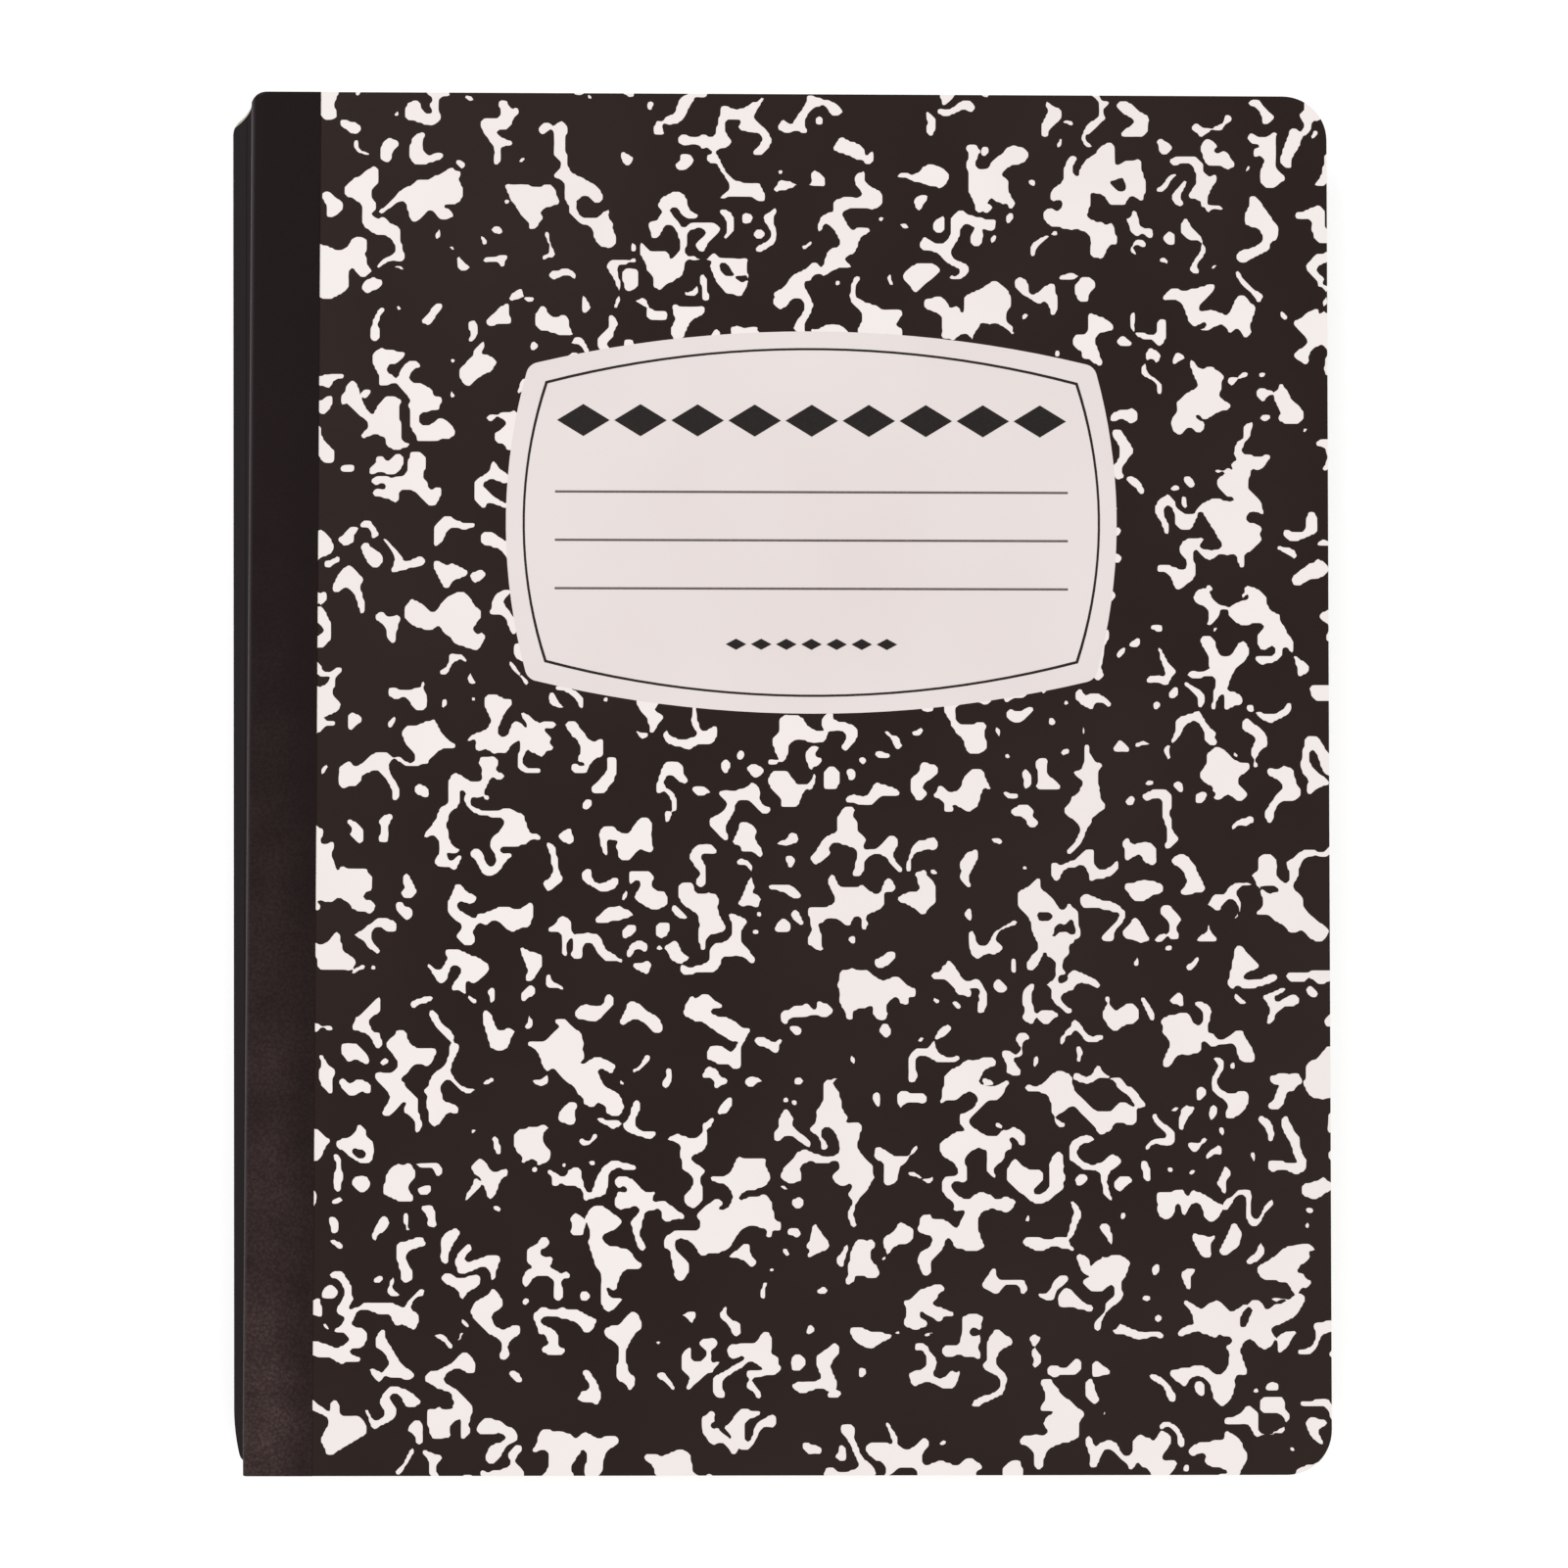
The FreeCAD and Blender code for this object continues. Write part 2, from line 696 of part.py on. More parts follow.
def round_uprights(body, feature, name, radius):
    """Round the upright edges of a feature."""
    edges = [
        f"Edge{number}"
        for number, edge in enumerate(feature.Shape.Edges, start=1)
        if abs(edge.tangentAt(edge.FirstParameter).z) > 0.9
    ]
    rounding = body.newObject("PartDesign::Fillet", name)
    rounding.Base = (feature, edges)
    rounding.setExpression("Radius", tied(radius))
    DOC.recompute()
    return rounding


def make_label_border():
    """Thin dark line that follows the field's edge."""
    body, outline = label_body("label_border", "border_outline", PRINTED)
    bowed_outline(outline, "line_inset")
    bowed_outline(outline, "(line_inset + line_width)")
    pad(body, outline, "border_line", "line_thickness")
    return body


def make_label_rules():
    """Lines to write a name on."""
    body, outline = label_body("label_rules", "rule_outline", PRINTED)
    edges = ("rule_first - rule_width / 2", "rule_first + rule_width / 2")
    rectangle(outline, "-rule_half_length", "rule_half_length", *edges)
    rule = pad(body, outline, "lowest_rule", "line_thickness")
    repeat(body, rule, "all_rules", "Y_Axis", "rule_pitch * (rule_count - 1)", "rule_count")
    return body


def make_lozenge_row(label, row):
    """Row of lozenges, where the real label has its words."""
    body, outline = label_body(label, f"{row}_outline", PRINTED)
    middle = f"(-{row}_half_length + {row}_pitch / 2)"
    corners = [
        (f"{middle} - {row}_pitch / 2 + line_width", f"{row}_y"),
        (middle, f"{row}_y - {row}_half_height"),
        (f"{middle} + {row}_pitch / 2 - line_width", f"{row}_y"),
        (middle, f"{row}_y + {row}_half_height"),
    ]
    polygon(outline, corners)
    lozenge = pad(body, outline, f"{row}_lozenge", "line_thickness")
    repeat(body, lozenge, f"{row}_row", "X_Axis", f"{row}_pitch * ({row}_count - 1)", f"{row}_count")
    return body


# Marbling: white blotches with blunt arms, scattered over both covers


def fleck_outline(dice, centre, reach):
    """Draw one blotch: blunt arms of uneven length about a centre, with notches between them."""
    arms = dice.choice((2, 3, 3, 4))
    step = 360 / arms
    thin, thick = size("fleck_arm_least") / 2, size("fleck_arm_most") / 2
    turn = dice.uniform(0, 360)
    spots = []
    for arm in range(arms):
        towards = turn + step * (arm + dice.uniform(-0.1, 0.1))
        length = reach * dice.uniform(0.55, 1.0)
        blunt = min(math.degrees(math.atan2(dice.uniform(thin, thick), length)), 0.35 * step)
        spots.append((length, towards - blunt))
        spots.append((length * dice.uniform(0.75, 1.0), towards + blunt))
        spots.append((dice.uniform(thin, thick) * 1.2, turn + step * (arm + 0.5)))
    corners = [centre + FreeCAD.Rotation(UP, angle) * FreeCAD.Vector(far, 0, 0) for far, angle in spots]
    return Part.Face(Part.makePolygon(corners + corners[:1]))


def scatter(dice, pitch):
    """Scatter blotches over a cover, about a pitch apart; neighbours may run into each other."""
    width, height = size("cover_width") - size("flap_width"), size("cover_height")
    columns, rows = round(width / pitch), round(height / pitch)
    for row in range(rows):
        for column in range(columns):
            x = size("cover_width") / 2 - width * (column + dice.uniform(0.15, 0.85)) / columns
            y = height * ((row + dice.uniform(0.15, 0.85)) / rows - 0.5)
            yield FreeCAD.Vector(x, y, 0), dice.uniform(size("fleck_reach_least"), size("fleck_reach_most"))


def make_marbling(label, seed, pitch, keep_off, **place):
    """White blotches of one cover, cut at the tape, at the cover's edges and at what they keep off."""
    dice = random.Random(seed)
    inset = size("fleck_clearance")
    left = -size("cover_width") / 2 + size("flap_width") + inset
    low = -size("cover_height") / 2 + inset
    field = Part.makePlane(size("cover_width") / 2 - inset - left, -2 * low, FreeCAD.Vector(left, low, 0))
    field = field.common(corner_field(inset))
    for face in keep_off:
        field = field.cut(face)
    ink = UP * size("print_thickness")
    blotches = [fleck_outline(dice, centre, reach).extrude(ink) for centre, reach in scatter(dice, size(pitch))]
    merged = blotches[0].multiFuse(blotches[1:]).common(field.extrude(ink)).removeSplitter()
    least = size("fleck_area_least") * size("print_thickness")
    return built(label, Part.makeCompound([piece for piece in merged.Solids if piece.Volume > least]), **place)


def corner_field(inset):
    """Return the cover's face with its round fore-edge corners, moved in by an inset."""
    half_width, half_height = size("cover_width") / 2 - inset, size("cover_height") / 2 - inset
    corner = FreeCAD.Vector(-half_width, -half_height, 0)
    block = Part.makeBox(2 * half_width, 2 * half_height, 1, corner)
    fore = [edge for edge in block.Edges if abs(edge.tangentAt(edge.FirstParameter).z) > 0.9
            and edge.Vertexes[0].X > 0]
    rounded = block.makeFillet(size("fore_corner") - inset, fore)
    return next(face for face in rounded.Faces if face.normalAt(0, 0).z < -0.9)


def label_shadow():
    """Return the label's face in the front cover's own plane, where no blotch goes."""
    half_width = size("label_half_width") + size("fleck_clearance")
    half_height = size("label_half_height") + size("fleck_clearance")
    corners = [
        FreeCAD.Vector(x * half_width, y * half_height, 0) for x, y in ((-1, -1), (1, -1), (1, 1), (-1, 1))
    ]
    bows = (size("label_top_bow"), size("label_side_bow"))
    sides = []
    for side in range(4):
        start, end = corners[side], corners[(side + 1) % 4]
        outward = (end - start).cross(UP).normalize()
        sides.append(Part.Arc(start, (start + end) * 0.5 + outward * bows[side % 2], end).toShape())
    face = Part.Face(Part.Wire(sides))
    face.translate(FreeCAD.Vector(size("label_x"), size("label_y"), 0))
    return face


def make_back_cover(board, marbling):
    """Back board with the marbling let in flush, so that its face stays the plane that it rests on."""
    cover = DOC.addObject("Part::Cut", "back_cover")
    cover.Label = "back_cover"
    cover.Base = board
    cover.Tool = marbling
    DOC.recompute()
    return cover


# Ruling of the first and the last page


def page_body(which, ruling, height):
    """Start a piece of ruling that lies as its page does."""
    place = {"x": f"{which}_page_x", "y": "middle_y", "z": height, "turn": f"{which}_page_turn"}
    return new_body(f"{which}_page_{ruling}", **place)


def make_page_rules(which, height):
    """Ruled lines of one page, from the line under the head margin down."""
    body = page_body(which, "rules", height)
    outline = body_sketch(body, f"{which}_rule_outline")
    line = "(cover_height / 2 - page_header)"
    rectangle(
        outline,
        "page_inner + page_border",
        "cover_width / 2 - page_border",
        f"{line} - page_rule_pitch * (page_rule_count - 1) - page_rule_width",
        f"{line} - page_rule_pitch * (page_rule_count - 1)",
    )
    rule = pad(body, outline, f"{which}_lowest_line", "page_rule_thickness")
    length = "page_rule_pitch * (page_rule_count - 1)"
    repeat(body, rule, f"{which}_all_lines", "Y_Axis", length, "page_rule_count")
    return body


def make_page_margin(which, height, start, end):
    """Margin line of one page, from the head to the first ruled line and on to the tail."""
    body = page_body(which, "margin", height)
    outline = body_sketch(body, f"{which}_margin_outline")
    rectangle(outline, start, end, "-cover_height / 2 + page_border", "cover_height / 2 - page_border")
    pad(body, outline, f"{which}_margin_line", "page_rule_thickness")
    return body


FIRST_PAGE = "block_top"
LAST_PAGE = "block_bottom - page_rule_thickness"


def make_notebook():
    """Build every piece and return those that make up the notebook."""
    trimmed = make_trimmed_book()
    front_face = {"z": "front_board_bottom + board_thickness", **FRONT}
    back_marbling = make_marbling("back_marbling", 11, "fleck_pitch_back", [], z="tape_proud", **BACK)
    margin_start = "-cover_width / 2 + margin_offset + tape_thickness + board_thickness"
    margin_end = "cover_width / 2 - margin_offset"
    return [
        make_text_block(trimmed),
        make_thread(),
        common("cover_spine", trimmed, between_ends("spine_run", spine_section)),
        common("spine_tape", trimmed, between_ends("tape_run", tape_section)),
        make_front_cover(),
        make_front_flap(),
        make_marbling("front_marbling", 4, "fleck_pitch_front", [label_shadow()], **front_face),
        make_label_panel(),
        make_label_border(),
        make_label_rules(),
        make_lozenge_row("label_title_ornament", "title"),
        make_lozenge_row("label_note_ornament", "note"),
        make_back_cover(make_back_board(), back_marbling),
        back_marbling,
        make_back_flap(),
        make_page_rules("first", FIRST_PAGE),
        make_page_margin("first", FIRST_PAGE, margin_start, f"{margin_start} + page_rule_width"),
        make_page_rules("last", LAST_PAGE),
        make_page_margin("last", LAST_PAGE, f"{margin_end} - page_rule_width", margin_end),
    ]


def check(pieces):
    """Stop if anything in the document has failed or a piece isn't a sound solid."""
    for item in DOC.Objects:
        if "Invalid" in item.State or "Error" in item.State:
            raise ValueError(f"{item.Label} failed: {item.State}")
    for piece in pieces:
        if piece.Shape.isNull() or not piece.Shape.isValid() or not piece.Shape.Solids:
            raise ValueError(f"{piece.Label} has no sound shape")


def main():
    """Build the notebook, check it and write each piece."""
    pieces = make_notebook()
    DOC.recompute()
    check(pieces)
    os.makedirs("parts", exist_ok=True)
    for piece in pieces:
        piece.Shape.exportStep(os.path.join("parts", f"{piece.Label}.step"))
        print(piece.Label, len(piece.Shape.Solids), round(piece.Shape.Volume, 2))


main()
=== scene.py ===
"""A composition notebook: marbled boards, a taped spine, sewn leaves and a label, on a white table."""

import logging
import math
import random
from dataclasses import dataclass, field
from enum import Enum
from typing import Callable, Sequence

import bpy
import numpy as np
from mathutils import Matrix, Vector
from mathutils.geometry import delaunay_2d_cdt


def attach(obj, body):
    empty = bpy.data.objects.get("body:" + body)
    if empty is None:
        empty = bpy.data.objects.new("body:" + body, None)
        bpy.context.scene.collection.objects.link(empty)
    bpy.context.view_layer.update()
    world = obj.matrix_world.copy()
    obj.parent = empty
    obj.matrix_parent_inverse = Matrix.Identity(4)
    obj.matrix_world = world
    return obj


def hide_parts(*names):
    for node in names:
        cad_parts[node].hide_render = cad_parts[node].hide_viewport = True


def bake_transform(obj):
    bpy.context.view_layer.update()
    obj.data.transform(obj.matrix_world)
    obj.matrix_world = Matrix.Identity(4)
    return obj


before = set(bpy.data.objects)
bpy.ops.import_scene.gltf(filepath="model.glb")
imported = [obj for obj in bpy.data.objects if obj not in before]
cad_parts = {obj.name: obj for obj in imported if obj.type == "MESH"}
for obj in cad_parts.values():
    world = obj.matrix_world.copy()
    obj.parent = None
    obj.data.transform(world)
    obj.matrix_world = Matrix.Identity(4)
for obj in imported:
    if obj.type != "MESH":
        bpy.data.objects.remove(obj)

Point = tuple[float, float, float]
Flat = tuple[float, float]
Rows = list[list[Point]]

LOG = logging.getLogger("notebook")
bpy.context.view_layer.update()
MM = 0.001

# Places of the two colours among a mix node's inputs, and of the mixed colour among its outputs
MIX_FIRST, MIX_SECOND, MIX_RESULT = 6, 7, 2


class Side(Enum):
    """The two covers, named by how the book lies."""

    FRONT = "front"
    BACK = "back"


def linear(red: int, green: int, blue: int) -> tuple[float, float, float, float]:
    """Turn a colour as it is seen on a screen into the light a shader works with.

    Args:
        red: Red, 0 to 255.
        green: Green, 0 to 255.
        blue: Blue, 0 to 255.

    Returns:
        The colour with full cover.
    """
    parts = (value / 255 for value in (red, green, blue))
    curve = [part / 12.92 if part <= 0.04045 else ((part + 0.055) / 1.055) ** 2.4 for part in parts]
    return (curve[0], curve[1], curve[2], 1.0)


# Shape of the book


@dataclass(frozen=True)
class BookShape:
    """Outline of the closed book and how it leans, in millimetres.

    The outline is drawn about the middle of a cover. From the front cover down to the back cover it
    slides towards the spine and turns a little, because the book lies cocked. Between the covers'
    ridges the spine is hollow, and the back cover's corner at the spine and the tail is drawn in.
    """

    width: float = 194.2
    height: float = 247.65
    front_x: float = 3.287
    middle_y: float = 0.030
    slide: float = 5.6
    back_turn: float = 0.00807575
    stack: float = 1.1
    top: float = 11.0
    fore_corner: float = 8.0
    head_corner: float = 2.8
    tail_corner: float = 0.6
    corner_steps: int = 7
    outline_steps: int = 14
    hollow_curve: float = 1.7
    tail_pull: float = 1.1
    tail_run: float = 9.0
    tail_reach: float = 12.0
    tail_steps: int = 6

    def share(self, z: float) -> float:
        """Return how much of the slide has happened at a height, from 0 at the front to 1 at the back."""
        return min(max((self.top - z) / (self.top - self.stack), 0.0), 1.0)

    def hollow(self, z: float) -> float:
        """Return how far the spine's tape sinks in at a height, between the ridges of the covers."""
        share = self.share(z)
        return self.slide * (share - share ** self.hollow_curve)

    def drawn_in(self, u: float, v: float) -> float:
        """Return how far the back cover is drawn in near its corner at the spine and the tail.

        Args:
            u: Distance from the middle of the leaf towards the fore-edge.
            v: Distance from the middle of the leaf towards the head.

        Returns:
            How far it moves towards the fore-edge, which is nothing away from that corner.
        """
        past = min(max(1 - (v + self.height / 2) / self.tail_run, 0.0), 1.0)
        near = min(max(1 - (u + self.width / 2) / self.tail_reach, 0.0), 1.0)
        return self.tail_pull * past * past * near

    def place(self, u: float, v: float, z: float) -> Point:
        """Put a point of a cover or leaf where it lies in the cocked book.

        Args:
            u: Distance from the middle of the leaf towards the fore-edge.
            v: Distance from the middle of the leaf towards the head.
            z: Height above the table.

        Returns:
            The point in metres.
        """
        share = self.share(z)
        turn = self.back_turn * share
        slide = (self.slide - self.drawn_in(u, v)) * share
        x = self.front_x - slide + u * math.cos(turn) - v * math.sin(turn)
        y = self.middle_y + u * math.sin(turn) + v * math.cos(turn)
        return (x * MM, y * MM, z * MM)

    def left(self, v: float) -> float:
        """Return where the outline's spine side is at a distance along the book."""
        radius = self.head_corner if v > 0 else self.tail_corner
        return -self.width / 2 + self.corner_pull(abs(v), radius)

    def right(self, v: float) -> float:
        """Return where the outline's fore-edge is at a distance along the book."""
        return self.width / 2 - self.corner_pull(abs(v), self.fore_corner)

    def corner_pull(self, along: float, radius: float) -> float:
        """Return how far a round corner has drawn the outline in."""
        past = min(max(along - (self.height / 2 - radius), 0.0), radius)
        return radius - math.sqrt(max(radius * radius - past * past, 0.0))

    def stations(self, radii: Sequence[float], plain: int) -> list[float]:
        """Return distances along the book, close together where the corners are round or drawn in.

        Args:
            radii: Radii of the corners to follow.
            plain: Distances between the corners.

        Returns:
            The distances, from tail to head.
        """
        reach = self.height / 2
        found = {-reach, reach}
        for radius in radii:
            for step in range(self.corner_steps):
                along = reach - radius + radius * math.sin(math.pi / 2 * step / self.corner_steps)
                found |= {along, -along}
        inner = reach - max(radii)
        found |= {inner * (2 * step / (plain + 1) - 1) for step in range(1, plain + 1)}
        for step in range(1, self.tail_steps + 1):
            found.add(-reach + self.tail_run * step / self.tail_steps)
        return sorted(found)

    def outline(self, inset: float, spine_inset: float) -> list[Flat]:
        """Return the outline as a closed run of points, drawn in by an inset.

        Args:
            inset: How far it is drawn in at the fore-edge, head and tail.
            spine_inset: How far it is drawn in at the spine.

        Returns:
            The points, anticlockwise seen from above.
        """
        half_u, half_v = self.width / 2, self.height / 2
        corners = (
            (half_u - self.fore_corner, half_v - self.fore_corner, self.fore_corner - inset, 0),
            (self.head_corner - half_u, half_v - self.head_corner, self.head_corner - inset, 1),
            (self.tail_corner - half_u, self.tail_corner - half_v, self.tail_corner - inset, 2),
            (half_u - self.fore_corner, self.fore_corner - half_v, self.fore_corner - inset, 3),
        )
        points = []
        for u, v, radius, quarter in corners:
            for step in range(self.outline_steps + 1):
                angle = math.pi / 2 * (quarter + step / self.outline_steps)
                across = max(u + radius * math.cos(angle), spine_inset - half_u)
                points.append((across, v + radius * math.sin(angle)))
        return points

    def corner_stations(self, pull: float) -> tuple[float, float]:
        """Find where the round corners at the spine have drawn the outline in by a given distance.

        Args:
            pull: That distance.

        Returns:
            The distances along the book at the tail and at the head.
        """
        ends = []
        for radius in (self.tail_corner, self.head_corner):
            depth = min(pull, radius)
            ends.append(self.height / 2 - radius + math.sqrt(2 * radius * depth - depth * depth))
        return -ends[0], ends[1]


BOOK = BookShape()


# Making meshes


def make_piece(name: str, points: Sequence[Point], faces: Sequence[Sequence[int]],
               smooth: bool) -> bpy.types.Object:
    """Make one object of the scene from points and faces.

    Args:
        name: Name of the piece.
        points: Corners in metres.
        faces: Runs of corner numbers, anticlockwise seen from outside.
        smooth: Whether light runs over the faces without a break.

    Returns:
        The new object, linked to the scene.
    """
    mesh = bpy.data.meshes.new(name)
    mesh.from_pydata([tuple(point) for point in points], [], [tuple(face) for face in faces])
    mesh.validate()
    mesh.update()
    for polygon in mesh.polygons:
        polygon.use_smooth = smooth
    piece = bpy.data.objects.new(name, mesh)
    bpy.context.scene.collection.objects.link(piece)
    return piece


def shell_faces(rows: int, columns: int, start: int,
                there: Callable[[int, int], bool] = lambda row, column: True) -> list[tuple[int, ...]]:
    """Return the faces of a closed sheet whose outer grid is followed by its inner grid.

    Args:
        rows: Rows of each grid.
        columns: Columns of each grid.
        start: Number of the first corner.
        there: Says whether the sheet covers the square after a row and a column.

    Returns:
        The faces of both sides and of the edges between them.
    """
    inner = rows * columns
    faces, runs = [], set()
    for row in range(rows - 1):
        for column in range(columns - 1):
            if there(row, column):
                first = start + row * columns + column
                square = (first, first + 1, first + columns + 1, first + columns)
                faces.append(square)
                faces.append(tuple(corner + inner for corner in reversed(square)))
                runs |= {(square[k], square[(k + 1) % 4]) for k in range(4)}
    edges = sorted(run for run in runs if (run[1], run[0]) not in runs)
    return faces + [(second, first, first + inner, second + inner) for first, second in edges]


def drop_unused(points: Sequence[Point],
                faces: Sequence[Sequence[int]]) -> tuple[list[Point], list[tuple[int, ...]]]:
    """Leave out the points that no face uses.

    Args:
        points: All points.
        faces: Runs of point numbers.

    Returns:
        The points that are left, and the faces with their new numbers.
    """
    used = sorted({corner for face in faces for corner in face})
    fresh = {old: new for new, old in enumerate(used)}
    return [points[old] for old in used], [tuple(fresh[corner] for corner in face) for face in faces]


# Finishes


class Recipe:
    """A material in the making: one surface shader and the nodes that feed it."""

    def __init__(self, name: str) -> None:
        """Start a material.

        Args:
            name: Name of the material.
        """
        self.material = bpy.data.materials.new(name)
        self.material.use_nodes = True
        self.tree = self.material.node_tree
        self.shader = next(node for node in self.tree.nodes if node.type == "BSDF_PRINCIPLED")
        places = self.add("ShaderNodeTexCoord")
        self.where, self.facing = places.outputs["Object"], places.outputs["Normal"]

    def add(self, kind: str, **values: object) -> bpy.types.Node:
        """Add a node and set its options and inputs.

        Args:
            kind: Blender's name for the node.
            **values: Options by their own name, inputs by their label in small letters.

        Returns:
            The new node.
        """
        node = self.tree.nodes.new(kind)
        sockets = {socket.name.lower().replace(" ", "_"): socket for socket in reversed(node.inputs)}
        for name, value in values.items():
            if name in sockets:
                sockets[name].default_value = value
            else:
                setattr(node, name, value)
        return node

    def link(self, source: bpy.types.NodeSocket, target: bpy.types.NodeSocket) -> None:
        """Feed one socket from another."""
        self.tree.links.new(source, target)

    def noise(self, size: float, detail: float = 3.0, roughness: float = 0.5) -> bpy.types.NodeSocket:
        """Return noise over the piece.

        Args:
            size: Size of its patches in millimetres.
            detail: How many finer layers it has.
            roughness: How strong the finer layers are.

        Returns:
            The noise, about 0 to 1.
        """
        node = self.add("ShaderNodeTexNoise", scale=1 / (size * MM), detail=detail, roughness=roughness)
        self.link(self.where, node.inputs["Vector"])
        return node.outputs["Fac"]

    def cells(self, size: float) -> bpy.types.NodeSocket:
        """Return a pattern of pebbles.

        Args:
            size: Size of a pebble in millimetres.

        Returns:
            The distance to the middle of each pebble, smoothed where pebbles meet.
        """
        node = self.add("ShaderNodeTexVoronoi", feature="SMOOTH_F1", scale=1 / (size * MM), smoothness=0.35)
        self.link(self.where, node.inputs["Vector"])
        return node.outputs["Distance"]

    def between(self, amount: bpy.types.NodeSocket, low: float, high: float,
                first: float = 0.0, last: float = 1.0) -> bpy.types.NodeSocket:
        """Stretch a value from one span to another.

        Args:
            amount: The value.
            low: Where the span starts.
            high: Where the span ends.
            first: What the start becomes.
            last: What the end becomes.

        Returns:
            The stretched value, held inside the new span.
        """
        node = self.add("ShaderNodeMapRange", from_min=low, from_max=high, to_min=first, to_max=last)
        self.link(amount, node.inputs["Value"])
        return node.outputs["Result"]

    def blend(self, amount: bpy.types.NodeSocket, first: bpy.types.NodeSocket | Sequence[float],
              second: Sequence[float]) -> bpy.types.NodeSocket:
        """Return a colour between two colours.

        Args:
            amount: How much of the second colour there is, 0 to 1.
            first: The first colour, or what feeds it.
            second: The second colour.

        Returns:
            The colour between them.
        """
        node = self.add("ShaderNodeMix", data_type="RGBA")
        self.link(amount, node.inputs["Factor"])
        if isinstance(first, bpy.types.NodeSocket):
            self.link(first, node.inputs[MIX_FIRST])
        else:
            node.inputs[MIX_FIRST].default_value = first
        node.inputs[MIX_SECOND].default_value = second
        return node.outputs[MIX_RESULT]

    def maths(self, operation: str, first: bpy.types.NodeSocket,
              second: bpy.types.NodeSocket | float) -> bpy.types.NodeSocket:
        """Work out one value from two.

        Args:
            operation: Blender's name for the sum.
            first: The first value.
            second: The second value, or a plain number.

        Returns:
            The result.
        """
        node = self.add("ShaderNodeMath", operation=operation)
        self.link(first, node.inputs[0])
        if isinstance(second, bpy.types.NodeSocket):
            self.link(second, node.inputs[1])
        else:
            node.inputs[1].default_value = second
        return node.outputs[0]

    def sum(self, first: bpy.types.NodeSocket, second: bpy.types.NodeSocket,
            weight: float) -> bpy.types.NodeSocket:
        """Add a weighted value to another.

        Args:
            first: The value that counts in full.
            second: The value that is weighted.
            weight: Its weight.

        Returns:
            The sum.
        """
        node = self.add("ShaderNodeMath", operation="MULTIPLY_ADD")
        self.link(second, node.inputs[0])
        node.inputs[1].default_value = weight
        self.link(first, node.inputs[2])
        return node.outputs[0]

    def bump(self, height: bpy.types.NodeSocket, depth: float, strength: float = 1.0) -> None:
        """Raise the surface by a height field.

        Args:
            height: The field, about 0 to 1.
            depth: Its depth in millimetres.
            strength: How strongly it shows.
        """
        node = self.add("ShaderNodeBump", strength=strength, distance=depth * MM)
        self.link(height, node.inputs["Height"])
        self.link(node.outputs["Normal"], self.shader.inputs["Normal"])

    def paint(self, colour: bpy.types.NodeSocket) -> None:
        """Feed the shader's base colour."""
        self.link(colour, self.shader.inputs["Base Color"])

    def gloss(self, amount: bpy.types.NodeSocket, specular: float) -> None:
        """Feed the shader's roughness and set how strongly it reflects."""
        self.link(amount, self.shader.inputs["Roughness"])
        self.shader.inputs["Specular IOR Level"].default_value = specular


@dataclass(frozen=True)
class Print:
    """Ink or bare paper of a printed cover sheet, pressed smooth and lightly coated."""

    name: str
    shade: tuple[int, int, int]
    second_tone: tuple[int, int, int]
    specular: float = 0.3
    rough: float = 0.42

    def build(self) -> bpy.types.Material:
        """Mix an even colour, faint cloudiness, paper fibre and a soft sheen.

        Returns:
            The material.
        """
        recipe = Recipe(self.name)
        cloud = recipe.between(recipe.noise(38.0, 2.0), 0.3, 0.7)
        fibre = recipe.noise(0.45, 4.0, 0.6)
        base = recipe.blend(cloud, linear(*self.shade), linear(*self.second_tone))
        speck = recipe.between(recipe.noise(0.9, 3.0, 0.7), 0.68, 0.8, 0.0, 0.35)
        recipe.paint(recipe.blend(speck, base, linear(*self.second_tone)))
        recipe.gloss(recipe.between(fibre, 0.3, 0.7, self.rough - 0.06, self.rough + 0.08), self.specular)
        recipe.bump(fibre, 0.008, 0.5)
        return recipe.material


